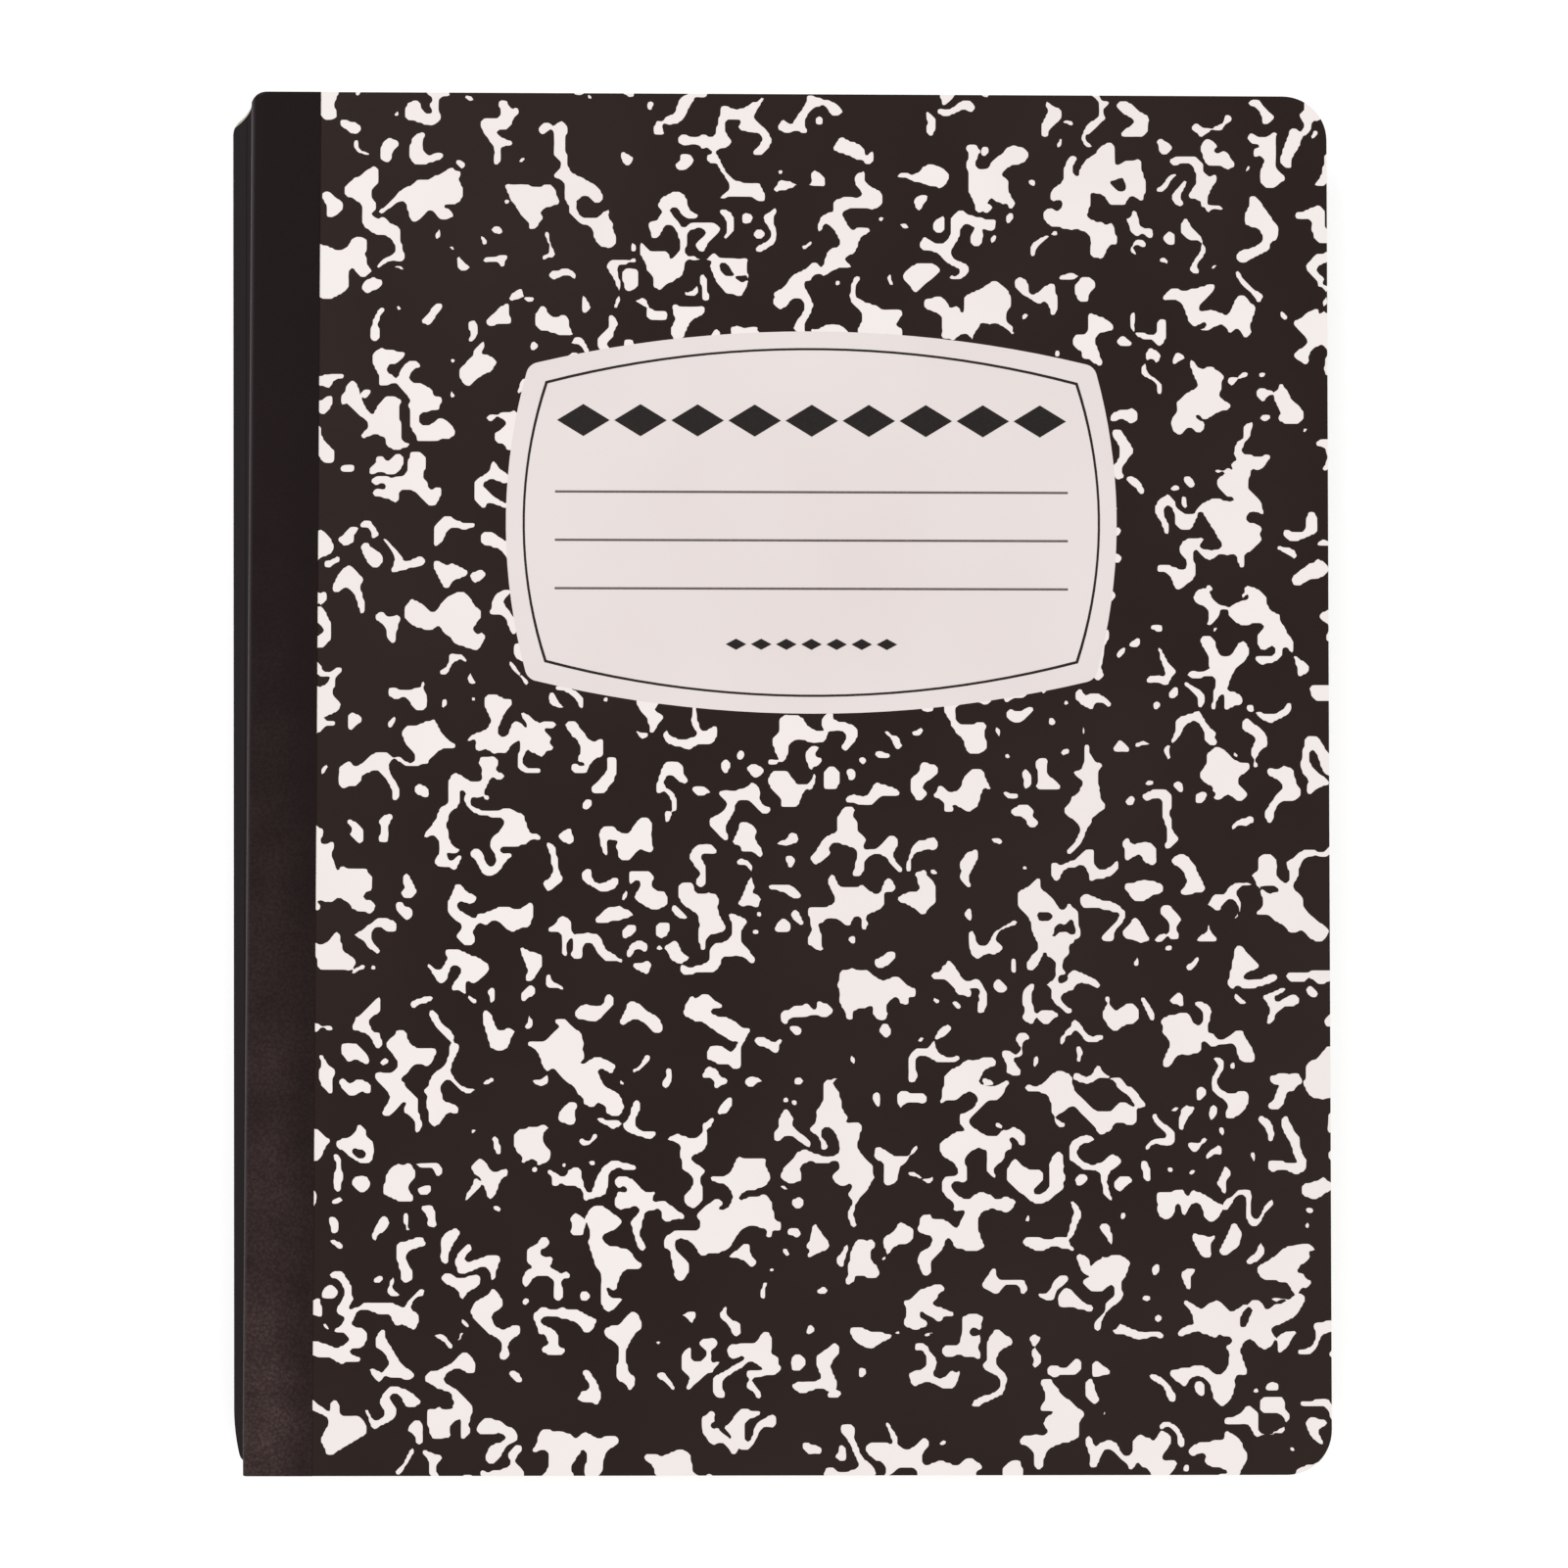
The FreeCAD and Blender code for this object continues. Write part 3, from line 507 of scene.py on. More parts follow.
@dataclass(frozen=True)
class BookCloth:
    """Embossed cloth tape: a fine leathery grain, with a painted sheen that grows paler towards the tail
    and a painted highlight along the ridge.
    """

    name: str
    shade: tuple[int, int, int]
    # The second tone is the colour of the painted sheen towards the tail.
    second_tone: tuple[int, int, int]
    # Colour of the painted highlight along the ridge.
    ridge: tuple[int, int, int]
    specular: float
    pebble: float = 0.6
    # Half the run, in metres, over which the painted sheen grows from nothing at the head to full at the
    # tail.
    tail_sheen: float = 0.12
    # Across the flap the painted sheen is full nearer the spine and weaker further out, between these
    # places in metres.
    band: Flat = (-0.0830, -0.0885)

    def build(self) -> bpy.types.Material:
        """Emboss the cloth, paint a paler sheen that grows towards the tail, and paint a highlight along
        the ridge.

        Returns:
            The material.
        """
        recipe = Recipe(self.name)
        cells = recipe.cells(self.pebble)
        fine = recipe.noise(0.28, 3.0, 0.6)
        relief = recipe.sum(recipe.sum(fine, cells, -1.1), recipe.noise(1.7, 2.0), 0.5)
        place = recipe.add("ShaderNodeSeparateXYZ")
        recipe.link(recipe.where, place.inputs[0])
        # Painted sheen: a paler colour that grows towards the tail, broken up by the grain and a cloudy
        # noise, and fullest near the spine.
        tail = recipe.maths("POWER", recipe.between(place.outputs["Y"], self.tail_sheen, -self.tail_sheen), 2.2)
        grain = recipe.between(recipe.sum(recipe.noise(0.55, 3.0, 0.65), cells, -0.5), 0.1, 0.5, 0.4, 1.0)
        cloud = recipe.between(recipe.noise(9.0, 3.0), 0.3, 0.7, 0.55, 1.25)
        band = recipe.between(place.outputs["X"], *self.band, 0.4, 1.0)
        # How much of the painted sheen's paler colour is mixed in.
        tail_sheen = recipe.maths("MULTIPLY", grain, tail)
        worn = recipe.maths("MULTIPLY", tail_sheen, recipe.maths("MULTIPLY", cloud, band))
        colour = recipe.blend(worn, linear(*self.shade), linear(*self.second_tone))
        # Painted highlight: a pale colour along the ridge, where the surface turns from the top towards the
        # spine, weaker towards the tail.
        facing = recipe.add("ShaderNodeSeparateXYZ")
        recipe.link(recipe.facing, facing.inputs[0])
        slope = recipe.maths("ABSOLUTE", facing.outputs["Z"], 0.0)
        rising = recipe.between(slope, 0.1, 0.5)
        falling = recipe.between(slope, 0.8, 0.998, 1.0, 0.0)
        behind = recipe.between(facing.outputs["X"], 0.05, -0.05)
        edge = recipe.maths("MULTIPLY", recipe.maths("MULTIPLY", rising, falling), behind)
        edge = recipe.maths("MULTIPLY", edge, recipe.between(tail, 0.45, 1.0, 1.0, 0.4))
        recipe.paint(recipe.blend(edge, colour, linear(*self.ridge)))
        recipe.gloss(recipe.between(fine, 0.3, 0.7, 0.38, 0.55), self.specular)
        recipe.bump(relief, 0.035, 0.55)
        return recipe.material


@dataclass(frozen=True)
class Pulp:
    """Raw pasteboard or uncoated paper: felted fibre with darker and paler hairs.

    The fibre's size and the layers' thickness are in millimetres, and the streaks are so many a metre.
    """

    name: str
    shade: tuple[int, int, int]
    fleck: tuple[int, int, int]
    fibre: float
    layers: float = 0.0
    streaks: float = 60.0

    def build(self) -> bpy.types.Material:
        """Mat the fibres, with fine layers through the thickness where the board has them.

        Returns:
            The material.
        """
        recipe = Recipe(self.name)
        hair = recipe.noise(self.fibre, 5.0, 0.65)
        amount = recipe.between(hair, 0.42, 0.72, 0.0, 0.8)
        colour = recipe.blend(amount, linear(*self.shade), linear(*self.fleck))
        cloud = recipe.between(recipe.noise(30.0, 2.0), 0.3, 0.7, 0.0, 0.25)
        colour = recipe.blend(cloud, colour, linear(*self.fleck))
        height = hair
        if self.layers:
            stretch = recipe.add("ShaderNodeMapping")
            scale = (self.streaks, self.streaks, 1 / (self.layers * MM))
            stretch.inputs["Scale"].default_value = scale
            recipe.link(recipe.where, stretch.inputs["Vector"])
            ply = recipe.add("ShaderNodeTexNoise", scale=1.0, detail=2.0)
            recipe.link(stretch.outputs["Vector"], ply.inputs["Vector"])
            edge = recipe.between(ply.outputs["Fac"], 0.4, 0.62, 0.0, 0.7)
            colour = recipe.blend(edge, colour, linear(*self.fleck))
            height = recipe.sum(hair, ply.outputs["Fac"], 1.0)
        recipe.paint(colour)
        recipe.gloss(recipe.between(hair, 0.3, 0.7, 0.72, 0.9), 0.2)
        recipe.bump(height, 0.02, 0.5)
        return recipe.material


@dataclass(frozen=True)
class Ink:
    """A thin line or field of ink printed on paper, a little uneven where the paper took it."""

    name: str
    shade: tuple[int, int, int]
    faded: tuple[int, int, int]

    def build(self) -> bpy.types.Material:
        """Lay the ink on the paper's grain.

        Returns:
            The material.
        """
        recipe = Recipe(self.name)
        grain = recipe.noise(0.35, 4.0, 0.6)
        taken = recipe.between(grain, 0.45, 0.75)
        recipe.paint(recipe.blend(taken, linear(*self.shade), linear(*self.faded)))
        recipe.gloss(recipe.between(grain, 0.3, 0.7, 0.5, 0.7), 0.25)
        recipe.bump(grain, 0.004, 0.4)
        return recipe.material


@dataclass(frozen=True)
class Cotton:
    """Twisted cotton sewing thread."""

    name: str
    shade: tuple[int, int, int]
    # Colour of the painted shade in the hollows between the plies.
    hollow: tuple[int, int, int]
    twist: float = 0.35

    def build(self) -> bpy.types.Material:
        """Lay slanting plies with painted shade in the hollows between them, and fuzz over them.

        Returns:
            The material.
        """
        recipe = Recipe(self.name)
        plies = 1 / (self.twist * MM) / 6
        wave = recipe.add("ShaderNodeTexWave", bands_direction="DIAGONAL", scale=plies, distortion=1.2)
        recipe.link(recipe.where, wave.inputs["Vector"])
        # The wave bands blend from the painted shade of the hollows to the thread's own colour.
        recipe.paint(recipe.blend(wave.outputs["Fac"], linear(*self.hollow), linear(*self.shade)))
        fuzz = recipe.noise(0.1, 3.0)
        recipe.gloss(recipe.between(fuzz, 0.3, 0.7, 0.75, 0.95), 0.2)
        recipe.bump(recipe.sum(fuzz, wave.outputs["Fac"], 2.0), 0.03, 0.7)
        return recipe.material


# Marbled cover sheets


def bilinear(heights: np.ndarray, right: np.ndarray, down: np.ndarray) -> np.ndarray:
    """Read a field of heights between its samples.

    Args:
        heights: The field, row by row.
        right: How many samples to the right each place is.
        down: How many rows down each place is.

    Returns:
        The heights at the places.
    """
    column, row = np.floor(right).astype(int), np.floor(down).astype(int)
    right, down = right - column, down - row
    upper = heights[row, column] * (1 - right) + heights[row, column + 1] * right
    lower = heights[row + 1, column] * (1 - right) + heights[row + 1, column + 1] * right
    return upper * (1 - down) + lower * down


@dataclass(frozen=True)
class Marbling:
    """Black and white marbling: blotches of a few sizes with veins and drops, combed and then rounded.

    Each pair holds a size in millimetres and a weight, or for the comb how far it pushes. A spread says
    how far the sizes in a layer differ, and the drop level how high the noise stands where a drop falls.
    """

    seed: int
    white_share: float = 0.25
    step: float = 0.4
    waves: tuple[tuple[float, float], ...] = ((10.6, 0.9), (6.2, 0.95), (3.2, 0.1))
    clusters: tuple[float, float] = (24.0, 0.65)
    veins: tuple[float, float] = (7.5, 1.0)
    drops: tuple[float, float] = (2.3, 4.6)
    comb: tuple[float, float] = (8.0, 1.3)
    softness: float = 0.11
    rounding: float = 0.38
    crispness: float = 5.0
    wave_spread: float = 0.25
    cluster_spread: float = 0.4
    spread: float = 0.3
    drop_level: float = 1.9
    edge: float = 1.01

    def field(self, columns: int, rows: int) -> np.ndarray:
        """Return the height of the noise above the level where white begins.

        Args:
            columns: Samples across.
            rows: Samples along.

        Returns:
            The heights, above zero where the sheet stays white.
        """
        dice = np.random.default_rng(self.seed)
        across = np.fft.rfftfreq(columns, self.step)[None, :]
        along = np.fft.fftfreq(rows, self.step)[:, None]
        pitch = np.hypot(across, along)

        def layer(length: float, spread: float = self.spread) -> np.ndarray:
            """Return noise of about one size.

            Args:
                length: That size in millimetres.
                spread: How far sizes differ from it.

            Returns:
                The noise, with a deviation of one.
            """
            ring = np.exp(-0.5 * ((pitch - 1 / length) * length / spread) ** 2)
            waves = np.fft.rfft2(dice.standard_normal((rows, columns))) * ring
            noise = np.fft.irfft2(waves, s=(rows, columns))
            return noise / noise.std()

        heights = sum(weight * layer(length, self.wave_spread) for length, weight in self.waves)
        heights = heights + self.clusters[1] * layer(self.clusters[0], self.cluster_spread)
        heights = heights - self.veins[1] * np.abs(layer(self.veins[0]))
        heights = heights + self.drops[1] * np.clip(layer(self.drops[0]) - self.drop_level, 0, None)
        push = self.comb[1] / self.step
        right = np.clip(np.arange(columns)[None, :] + push * layer(self.comb[0]), 0, columns - self.edge)
        down = np.clip(np.arange(rows)[:, None] + push * layer(self.comb[0]), 0, rows - self.edge)
        heights = bilinear(heights, right, down)
        for radius in (self.softness, self.rounding):
            soft = np.exp(-0.5 * (2 * np.pi * radius * pitch) ** 2)
            heights = np.fft.irfft2(np.fft.rfft2(heights) * soft, s=(rows, columns))
            heights = np.tanh(self.crispness * (heights - np.quantile(heights, 1 - self.white_share)))
        return heights


@dataclass
class MarbledSheet:
    """The printed sheet of one cover: one flat sheet whose faces are either ink or bare paper.

    A white speck or a black pinhole smaller than its area in square millimetres is left out. A border
    point keeps clear of the samples by a share of a step, points closer than the weld become one, and
    a spot may stand outside the outline by the slack.
    """

    side: Side
    marbling: Marbling
    ink: bpy.types.Material
    paper: bpy.types.Material
    low: float
    high: float
    tucked: float = 12.1
    inset: float = 0.005
    margin: float = 4.0
    speck: float = 0.2
    pinhole: float = 3.0
    clear: float = 0.04
    weld: float = 1e-5
    slack: float = 1e-7
    body: str = field(init=False)

    def __post_init__(self) -> None:
        """Name the body that the sheet is pasted to."""
        self.body = f"{self.side.value}_cover"

    def borders(self, heights: np.ndarray) -> tuple[list[Flat], list[tuple[int, int]]]:
        """Trace where ink and bare paper meet.

        Args:
            heights: The marbling, above zero where the sheet stays white.

        Returns:
            Points on the borders, and pairs of their numbers.
        """
        rows, columns = heights.shape
        white = heights > 0
        points: list[Flat] = []
        numbers: dict[tuple[int, int, int], int] = {}

        def crossing(row: int, column: int, down: int) -> int:
            """Find the border point between a sample and the next one.

            Args:
                row: Row of the sample.
                column: Column of the sample.
                down: 1 if the next one is below it, 0 if it is to the right.

            Returns:
                The number of the point.
            """
            key = (row, column, down)
            if key not in numbers:
                here = heights[row, column]
                there = heights[row + down, column + 1 - down]
                part = min(max(here / (here - there), self.clear), 1 - self.clear)
                u = (column + part * (1 - down)) * self.marbling.step
                v = (row + part * down) * self.marbling.step
                numbers[key] = len(points)
                points.append((u - self.width_half(), v - self.height_half()))
            return numbers[key]

        pairs = []
        count = white[:-1, :-1].astype(int) + white[:-1, 1:] + white[1:, :-1] + white[1:, 1:]
        for row, column in zip(*np.nonzero((count > 0) & (count < 4))):
            row, column = int(row), int(column)
            upper, lower = white[row, column:column + 2], white[row + 1, column:column + 2]
            corners = (upper[0], upper[1], lower[1], lower[0])
            sides = ((row, column, 0), (row, column + 1, 1), (row + 1, column, 0), (row, column, 1))
            cut = [sides[k] for k in range(4) if corners[k] != corners[(k + 1) % 4]]
            if len(cut) == 4 and corners[0] != (heights[row:row + 2, column:column + 2].mean() > 0):
                cut = cut[1:] + cut[:1]
                cut = [cut[3], cut[0], cut[1], cut[2]] if corners[0] else cut
            for first in range(0, len(cut), 2):
                pairs.append((crossing(*cut[first]), crossing(*cut[first + 1])))
        return points, pairs

    def width_half(self) -> float:
        """Return half the width that the marbling is worked out over."""
        return BOOK.width / 2 + self.margin

    def height_half(self) -> float:
        """Return half the height that the marbling is worked out over."""
        return BOOK.height / 2 + self.margin

    def build(self) -> bpy.types.Object:
        """Cut the sheet into faces of ink and faces of bare paper, and lay it on its board.

        Returns:
            The finished piece.
        """
        step = self.marbling.step
        columns, rows = int(2 * self.width_half() / step), int(2 * self.height_half() / step)
        heights = self.marbling.field(columns, rows)
        points, pairs = self.borders(heights)
        outline = BOOK.outline(self.inset, self.tucked)
        first = len(points)
        points += outline
        pairs += [(first + k, first + (k + 1) % len(outline)) for k in range(len(outline))]
        cut = delaunay_2d_cdt([Vector(spot) for spot in points], pairs, [], 0, self.weld)
        corners, edges, triangles, _, sources, _ = cut
        spots = np.array([tuple(corner) for corner in corners])
        triangles = np.array([tuple(face) for face in triangles])
        borders = {tuple(sorted(edge)) for edge, source in zip(edges, sources) if source}
        kept = triangles[self.inside(spots[triangles].mean(axis=1), outline)]
        around = spots[kept]
        sides = around[:, 1:] - around[:, :1]
        areas = np.abs(sides[:, 0, 0] * sides[:, 1, 1] - sides[:, 0, 1] * sides[:, 1, 0])
        middle = (around.mean(axis=1) + (self.width_half(), self.height_half())) / step
        votes = bilinear(heights, middle[:, 0], middle[:, 1]) * areas
        regions = self.regions(kept, borders)
        totals = np.bincount(regions, weights=votes)
        sizes = np.bincount(regions, weights=areas) / 2
        least = np.where(totals > 0, self.speck, self.pinhole)
        bare = ((totals > 0) != (sizes < least))[regions]
        return self.slab(spots, kept, bare)

    def regions(self, triangles: np.ndarray, borders: set[tuple[int, int]]) -> np.ndarray:
        """Number the regions that the borders cut the sheet into.

        Args:
            triangles: Faces of the sheet.
            borders: Edges that no region crosses.

        Returns:
            For each face, the number of one face of its region.
        """
        leader = list(range(len(triangles)))

        def first(face: int) -> int:
            """Find the face that stands for a face's region so far.

            Args:
                face: Number of the face.

            Returns:
                Number of the face that stands for it.
            """
            while leader[face] != face:
                leader[face] = leader[leader[face]]
                face = leader[face]
            return face

        beside: dict[tuple[int, int], int] = {}
        for number, face in enumerate(triangles.tolist()):
            for k in range(3):
                edge = tuple(sorted((face[k], face[(k + 1) % 3])))
                if edge in borders:
                    continue
                if edge in beside:
                    leader[first(number)] = first(beside[edge])
                else:
                    beside[edge] = number
        return np.array([first(number) for number in range(len(triangles))])

    def inside(self, spots: np.ndarray, outline: list[Flat]) -> np.ndarray:
        """Say which spots lie within the outline, which bulges everywhere.

        Args:
            spots: The spots.
            outline: The outline, anticlockwise.

        Returns:
            For each spot, whether it lies within.
        """
        hull = np.array(outline)
        run = np.roll(hull, -1, axis=0) - hull
        keep = np.ones(len(spots), bool)
        for corner, edge in zip(hull, run):
            keep &= edge[0] * (spots[:, 1] - corner[1]) - edge[1] * (spots[:, 0] - corner[0]) > -self.slack
        return keep

    def slab(self, spots: np.ndarray, triangles: np.ndarray, bare: np.ndarray) -> bpy.types.Object:
        """Give the cut sheet its thickness.

        Args:
            spots: Corners of the printed face.
            triangles: Its faces.
            bare: Which faces are bare paper.

        Returns:
            The closed sheet.
        """
        used = np.unique(triangles)
        fresh = {int(old): new for new, old in enumerate(used)}
        up = self.side is Side.FRONT
        printed = self.high if up else self.low
        pasted = self.low if up else self.high
        points = [BOOK.place(*spots[old], printed) for old in used]
        faces = [tuple(fresh[int(corner)] for corner in (face if up else face[::-1])) for face in triangles]
        rim = self.rim(faces)
        base = len(points)
        points += [BOOK.place(*spots[used[corner]], pasted) for corner in rim]
        for k, corner in enumerate(rim):
            after = (k + 1) % len(rim)
            faces.append((rim[after], corner, base + k, base + after))
        faces.append(tuple(base + k for k in reversed(range(len(rim)))))
        piece = make_piece(f"{self.side.value}_marbled_sheet", points, faces, smooth=False)
        piece.data.materials.append(self.ink)
        piece.data.materials.append(self.paper)
        slots = np.zeros(len(piece.data.polygons), int)
        slots[:len(bare)] = bare
        piece.data.polygons.foreach_set("material_index", slots)
        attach(piece, self.body)
        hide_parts(f"{self.side.value}_marbling")
        return piece

    def rim(self, faces: list[tuple[int, ...]]) -> list[int]:
        """Follow the edge of the printed face.

        Args:
            faces: Its faces.

        Returns:
            The corners on the edge, in order.
        """
        runs = {(face[k], face[(k + 1) % 3]) for face in faces for k in range(3)}
        following = {first: second for first, second in runs if (second, first) not in runs}
        start = min(following)
        rim = [start]
        while following[rim[-1]] != start:
            rim.append(following[rim[-1]])
        return rim


# Boards


@dataclass
class Board:
    """One cover's board with softly rounded edges, lined with plain paper inside.

    The profile of an edge is given in shares of the softness: how far in, and how far from the face.
    """

    side: Side
    core: bpy.types.Material
    lining: bpy.types.Material
    low: float
    high: float
    spine_inset: float = 0.95
    softness: float = 0.05
    profile: tuple[Flat, ...] = ((0.7, 0.0), (0.2, 0.3), (0.0, 1.0))

    def build(self) -> bpy.types.Object:
        """Stack outlines into a board.

        Returns:
            The finished piece.
        """
        levels = [(self.softness * inset, self.softness * rise) for inset, rise in self.profile]
        rings = [(inset, self.low + rise) for inset, rise in levels]
        rings += [(inset, self.high - rise) for inset, rise in reversed(levels)]
        points, faces = [], []
        for inset, z in rings:
            ring = BOOK.outline(inset, self.spine_inset + inset)
            points += [BOOK.place(u, v, z) for u, v in ring]
        count = len(points) // len(rings)
        for start in range(0, len(points) - count, count):
            above = start + count
            for k in range(count):
                after = (k + 1) % count
                faces.append((start + k, start + after, above + after, above + k))
        faces.append(tuple(reversed(range(count))))
        faces.append(tuple(len(points) - count + k for k in range(count)))
        piece = make_piece(f"{self.side.value}_board", points, faces, smooth=False)
        piece.data.materials.append(self.core)
        piece.data.materials.append(self.lining)
        inner = faces[-2] if self.side is Side.FRONT else faces[-1]
        piece.data.polygons[faces.index(inner)].material_index = 1
        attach(piece, f"{self.side.value}_cover")
        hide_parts(f"{self.side.value}_cover")
        return piece


# Tape


@dataclass
class TapeHalf:
    """Half of the cloth tape: from the flap on one cover, round its ridge, to the middle of the spine.

    The bends, which nothing reads, give where the tape would start and stop bending with its cover: across
    and up from the ridge.
    """

    side: Side
    cloth: bpy.types.Material
    sides: bpy.types.Material
    flap: float = 12.6
    ridge: float = 1.0
    thin: float = 0.1
    thick: float = 0.24
    least: float = 0.02
    middle: float = 5.5
    across: int = 8
    turns: int = 7
    down: int = 9
    plain: int = 40
    worn_share: float = 0.8
    flush: float = 1e-9
    front_bend: tuple[Flat, Flat] = ((0.9, 0.0), (-0.3, -1.1))
    back_bend: tuple[Flat, Flat] = ((0.0, -0.2), (0.0, 0.5))

    def wrap(self) -> list[tuple[Flat, Flat]]:
        """Return the section of the tape from its ridge to the middle of the spine.

        Returns:
            Outer and inner points: how far behind the spine side, and how far below the cover's face.
        """
        section = []
        for step in range(1, self.turns + 1):
            angle = math.pi / 2 * step / self.turns
            thickness = self.thin + (self.thick - self.thin) * step / self.turns
            sine, cosine = math.sin(angle), math.cos(angle)
            outer = (self.ridge * (1 - sine), self.ridge * (1 - cosine))
            section.append((outer, (outer[0] + thickness * sine, outer[1] + thickness * cosine)))
        depth = BOOK.top - self.middle if self.side is Side.FRONT else self.middle
        for step in range(1, self.down + 1):
            drop = self.ridge + (depth - self.ridge) * step / self.down
            section.append(((0.0, drop), (self.thick, drop)))
        return section

    def across_at(self, depth: float, drop: float) -> float:
        """Return how far across a cover a point of the section lies."""
        height = BOOK.top - drop if self.side is Side.FRONT else drop
        return depth - BOOK.width / 2 + BOOK.hollow(height)

    def build(self) -> bpy.types.Object:
        """Wrap the tape over the book. Round the corners the trimmed edge shows its thickness.

        Returns:
            The finished piece.
        """
        worn = BOOK.corner_stations(self.thick * self.worn_share)
        cut = BOOK.corner_stations(self.ridge)
        stations = sorted({*BOOK.stations((BOOK.head_corner, BOOK.tail_corner), self.plain), *worn, *cut})
        wrap = self.wrap()
        up = self.side is Side.FRONT
        edge = -BOOK.width / 2 + self.flap
        outer: Rows = []
        inner: Rows = []
        for v in stations:
            side = BOOK.left(v)
            start = max(self.ridge - BOOK.width / 2, side)
            last = edge - self.thin
            shares = [1 - step / self.across for step in range(self.across + 1)]
            flat = [edge] + [start + (last - start) * share for share in shares]
            shown = [(u, 0.0) for u in flat]
            shown += [(max(self.across_at(*spot), side), spot[1]) for spot, _ in wrap]
            hidden = [(u, self.thin) for u in flat]
            hidden += [(max(self.across_at(*spot), side + self.least), spot[1]) for _, spot in wrap]
            for rows, row in ((outer, shown), (inner, hidden)):
                rows.append([BOOK.place(u, v, BOOK.top - drop if up else drop) for u, drop in row])

        def there(row: int, column: int) -> bool:
            """Say whether the tape covers a square, which it doesn't where the corners are trimmed.

            Args:
                row: Row before the square.
                column: Column before the square.

            Returns:
                Whether it does.
            """
            low, high = stations[row], stations[row + 1]
            if column < self.across + 1:
                return True
            reach = cut if column < self.across + self.turns else worn
            return low >= reach[0] and high <= reach[1]

        columns = self.across + 2 + len(wrap)
        faces = shell_faces(len(stations), columns, 0, there)
        points, faces = drop_unused([point for row in outer + inner for point in row], faces)
        if up:
            faces = [tuple(reversed(face)) for face in faces]
        piece = make_piece(f"{self.side.value}_tape", points, faces, smooth=True)
        piece.data.materials.append(self.cloth)
        piece.data.materials.append(self.sides)
        level = (self.middle if up else BOOK.top - self.middle) * MM
        bend = self.ridge * MM
        for polygon in piece.data.polygons:
            height = polygon.center.z if not up else BOOK.top * MM - polygon.center.z
            polygon.material_index = int(height > bend or abs(polygon.center.z - level) < self.flush)
        self.fasten(piece)
        return piece

    def fasten(self, piece: bpy.types.Object) -> None:
        """Hide the construction's pieces that this half of the tape replaces, and set its placement into
        its mesh.

        Args:
            piece: This half of the tape.
        """
        corner = BOOK.place(-BOOK.width / 2, 0.0, BOOK.top if self.side is Side.FRONT else BOOK.stack)
        if self.side is Side.FRONT:
            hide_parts("front_tape_flap", "spine_tape")
        else:
            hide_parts("back_tape_flap")
        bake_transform(piece)


@dataclass
class SpineBoard:
    """The folded board that stiffens the spine inside the tape."""

    core: bpy.types.Material
    low: float = 1.12
    high: float = 9.88
    behind: float = 0.26
    deepest: float = 1.45
    down: int = 10
    plain: int = 12
    trimmed: float = 0.6
    clear: float = 0.02
    thinnest: float = 0.02

    def build(self) -> bpy.types.Object:
        """Bend the board to the hollow of the tape, trimmed at the round corners.

        Returns:
            The finished piece.
        """
        tail, head = BOOK.corner_stations(self.trimmed)
        stations = BOOK.stations((BOOK.head_corner, BOOK.tail_corner), self.plain)
        stations = [tail, *(v for v in stations if tail < v < head), head]
        heights = [self.low + (self.high - self.low) * step / self.down for step in range(self.down + 1)]
        outer: Rows = []
        inner: Rows = []
        for v in stations:
            side = BOOK.left(v) + self.clear
            starts = [max(BOOK.hollow(z) + self.behind - BOOK.width / 2, side) for z in heights]
            ends = [max(self.deepest - BOOK.width / 2, u + self.thinnest) for u in starts]
            outer.append([BOOK.place(u, v, z) for u, z in zip(starts, heights)])
            inner.append([BOOK.place(u, v, z) for u, z in zip(ends, heights)])
        points = [point for row in outer + inner for point in row]
        piece = make_piece("spine_board", points, shell_faces(len(stations), len(heights), 0), smooth=False)
        piece.data.materials.append(self.core)
        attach(piece, "text_block")
        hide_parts("cover_spine")
        return piece


# Leaves


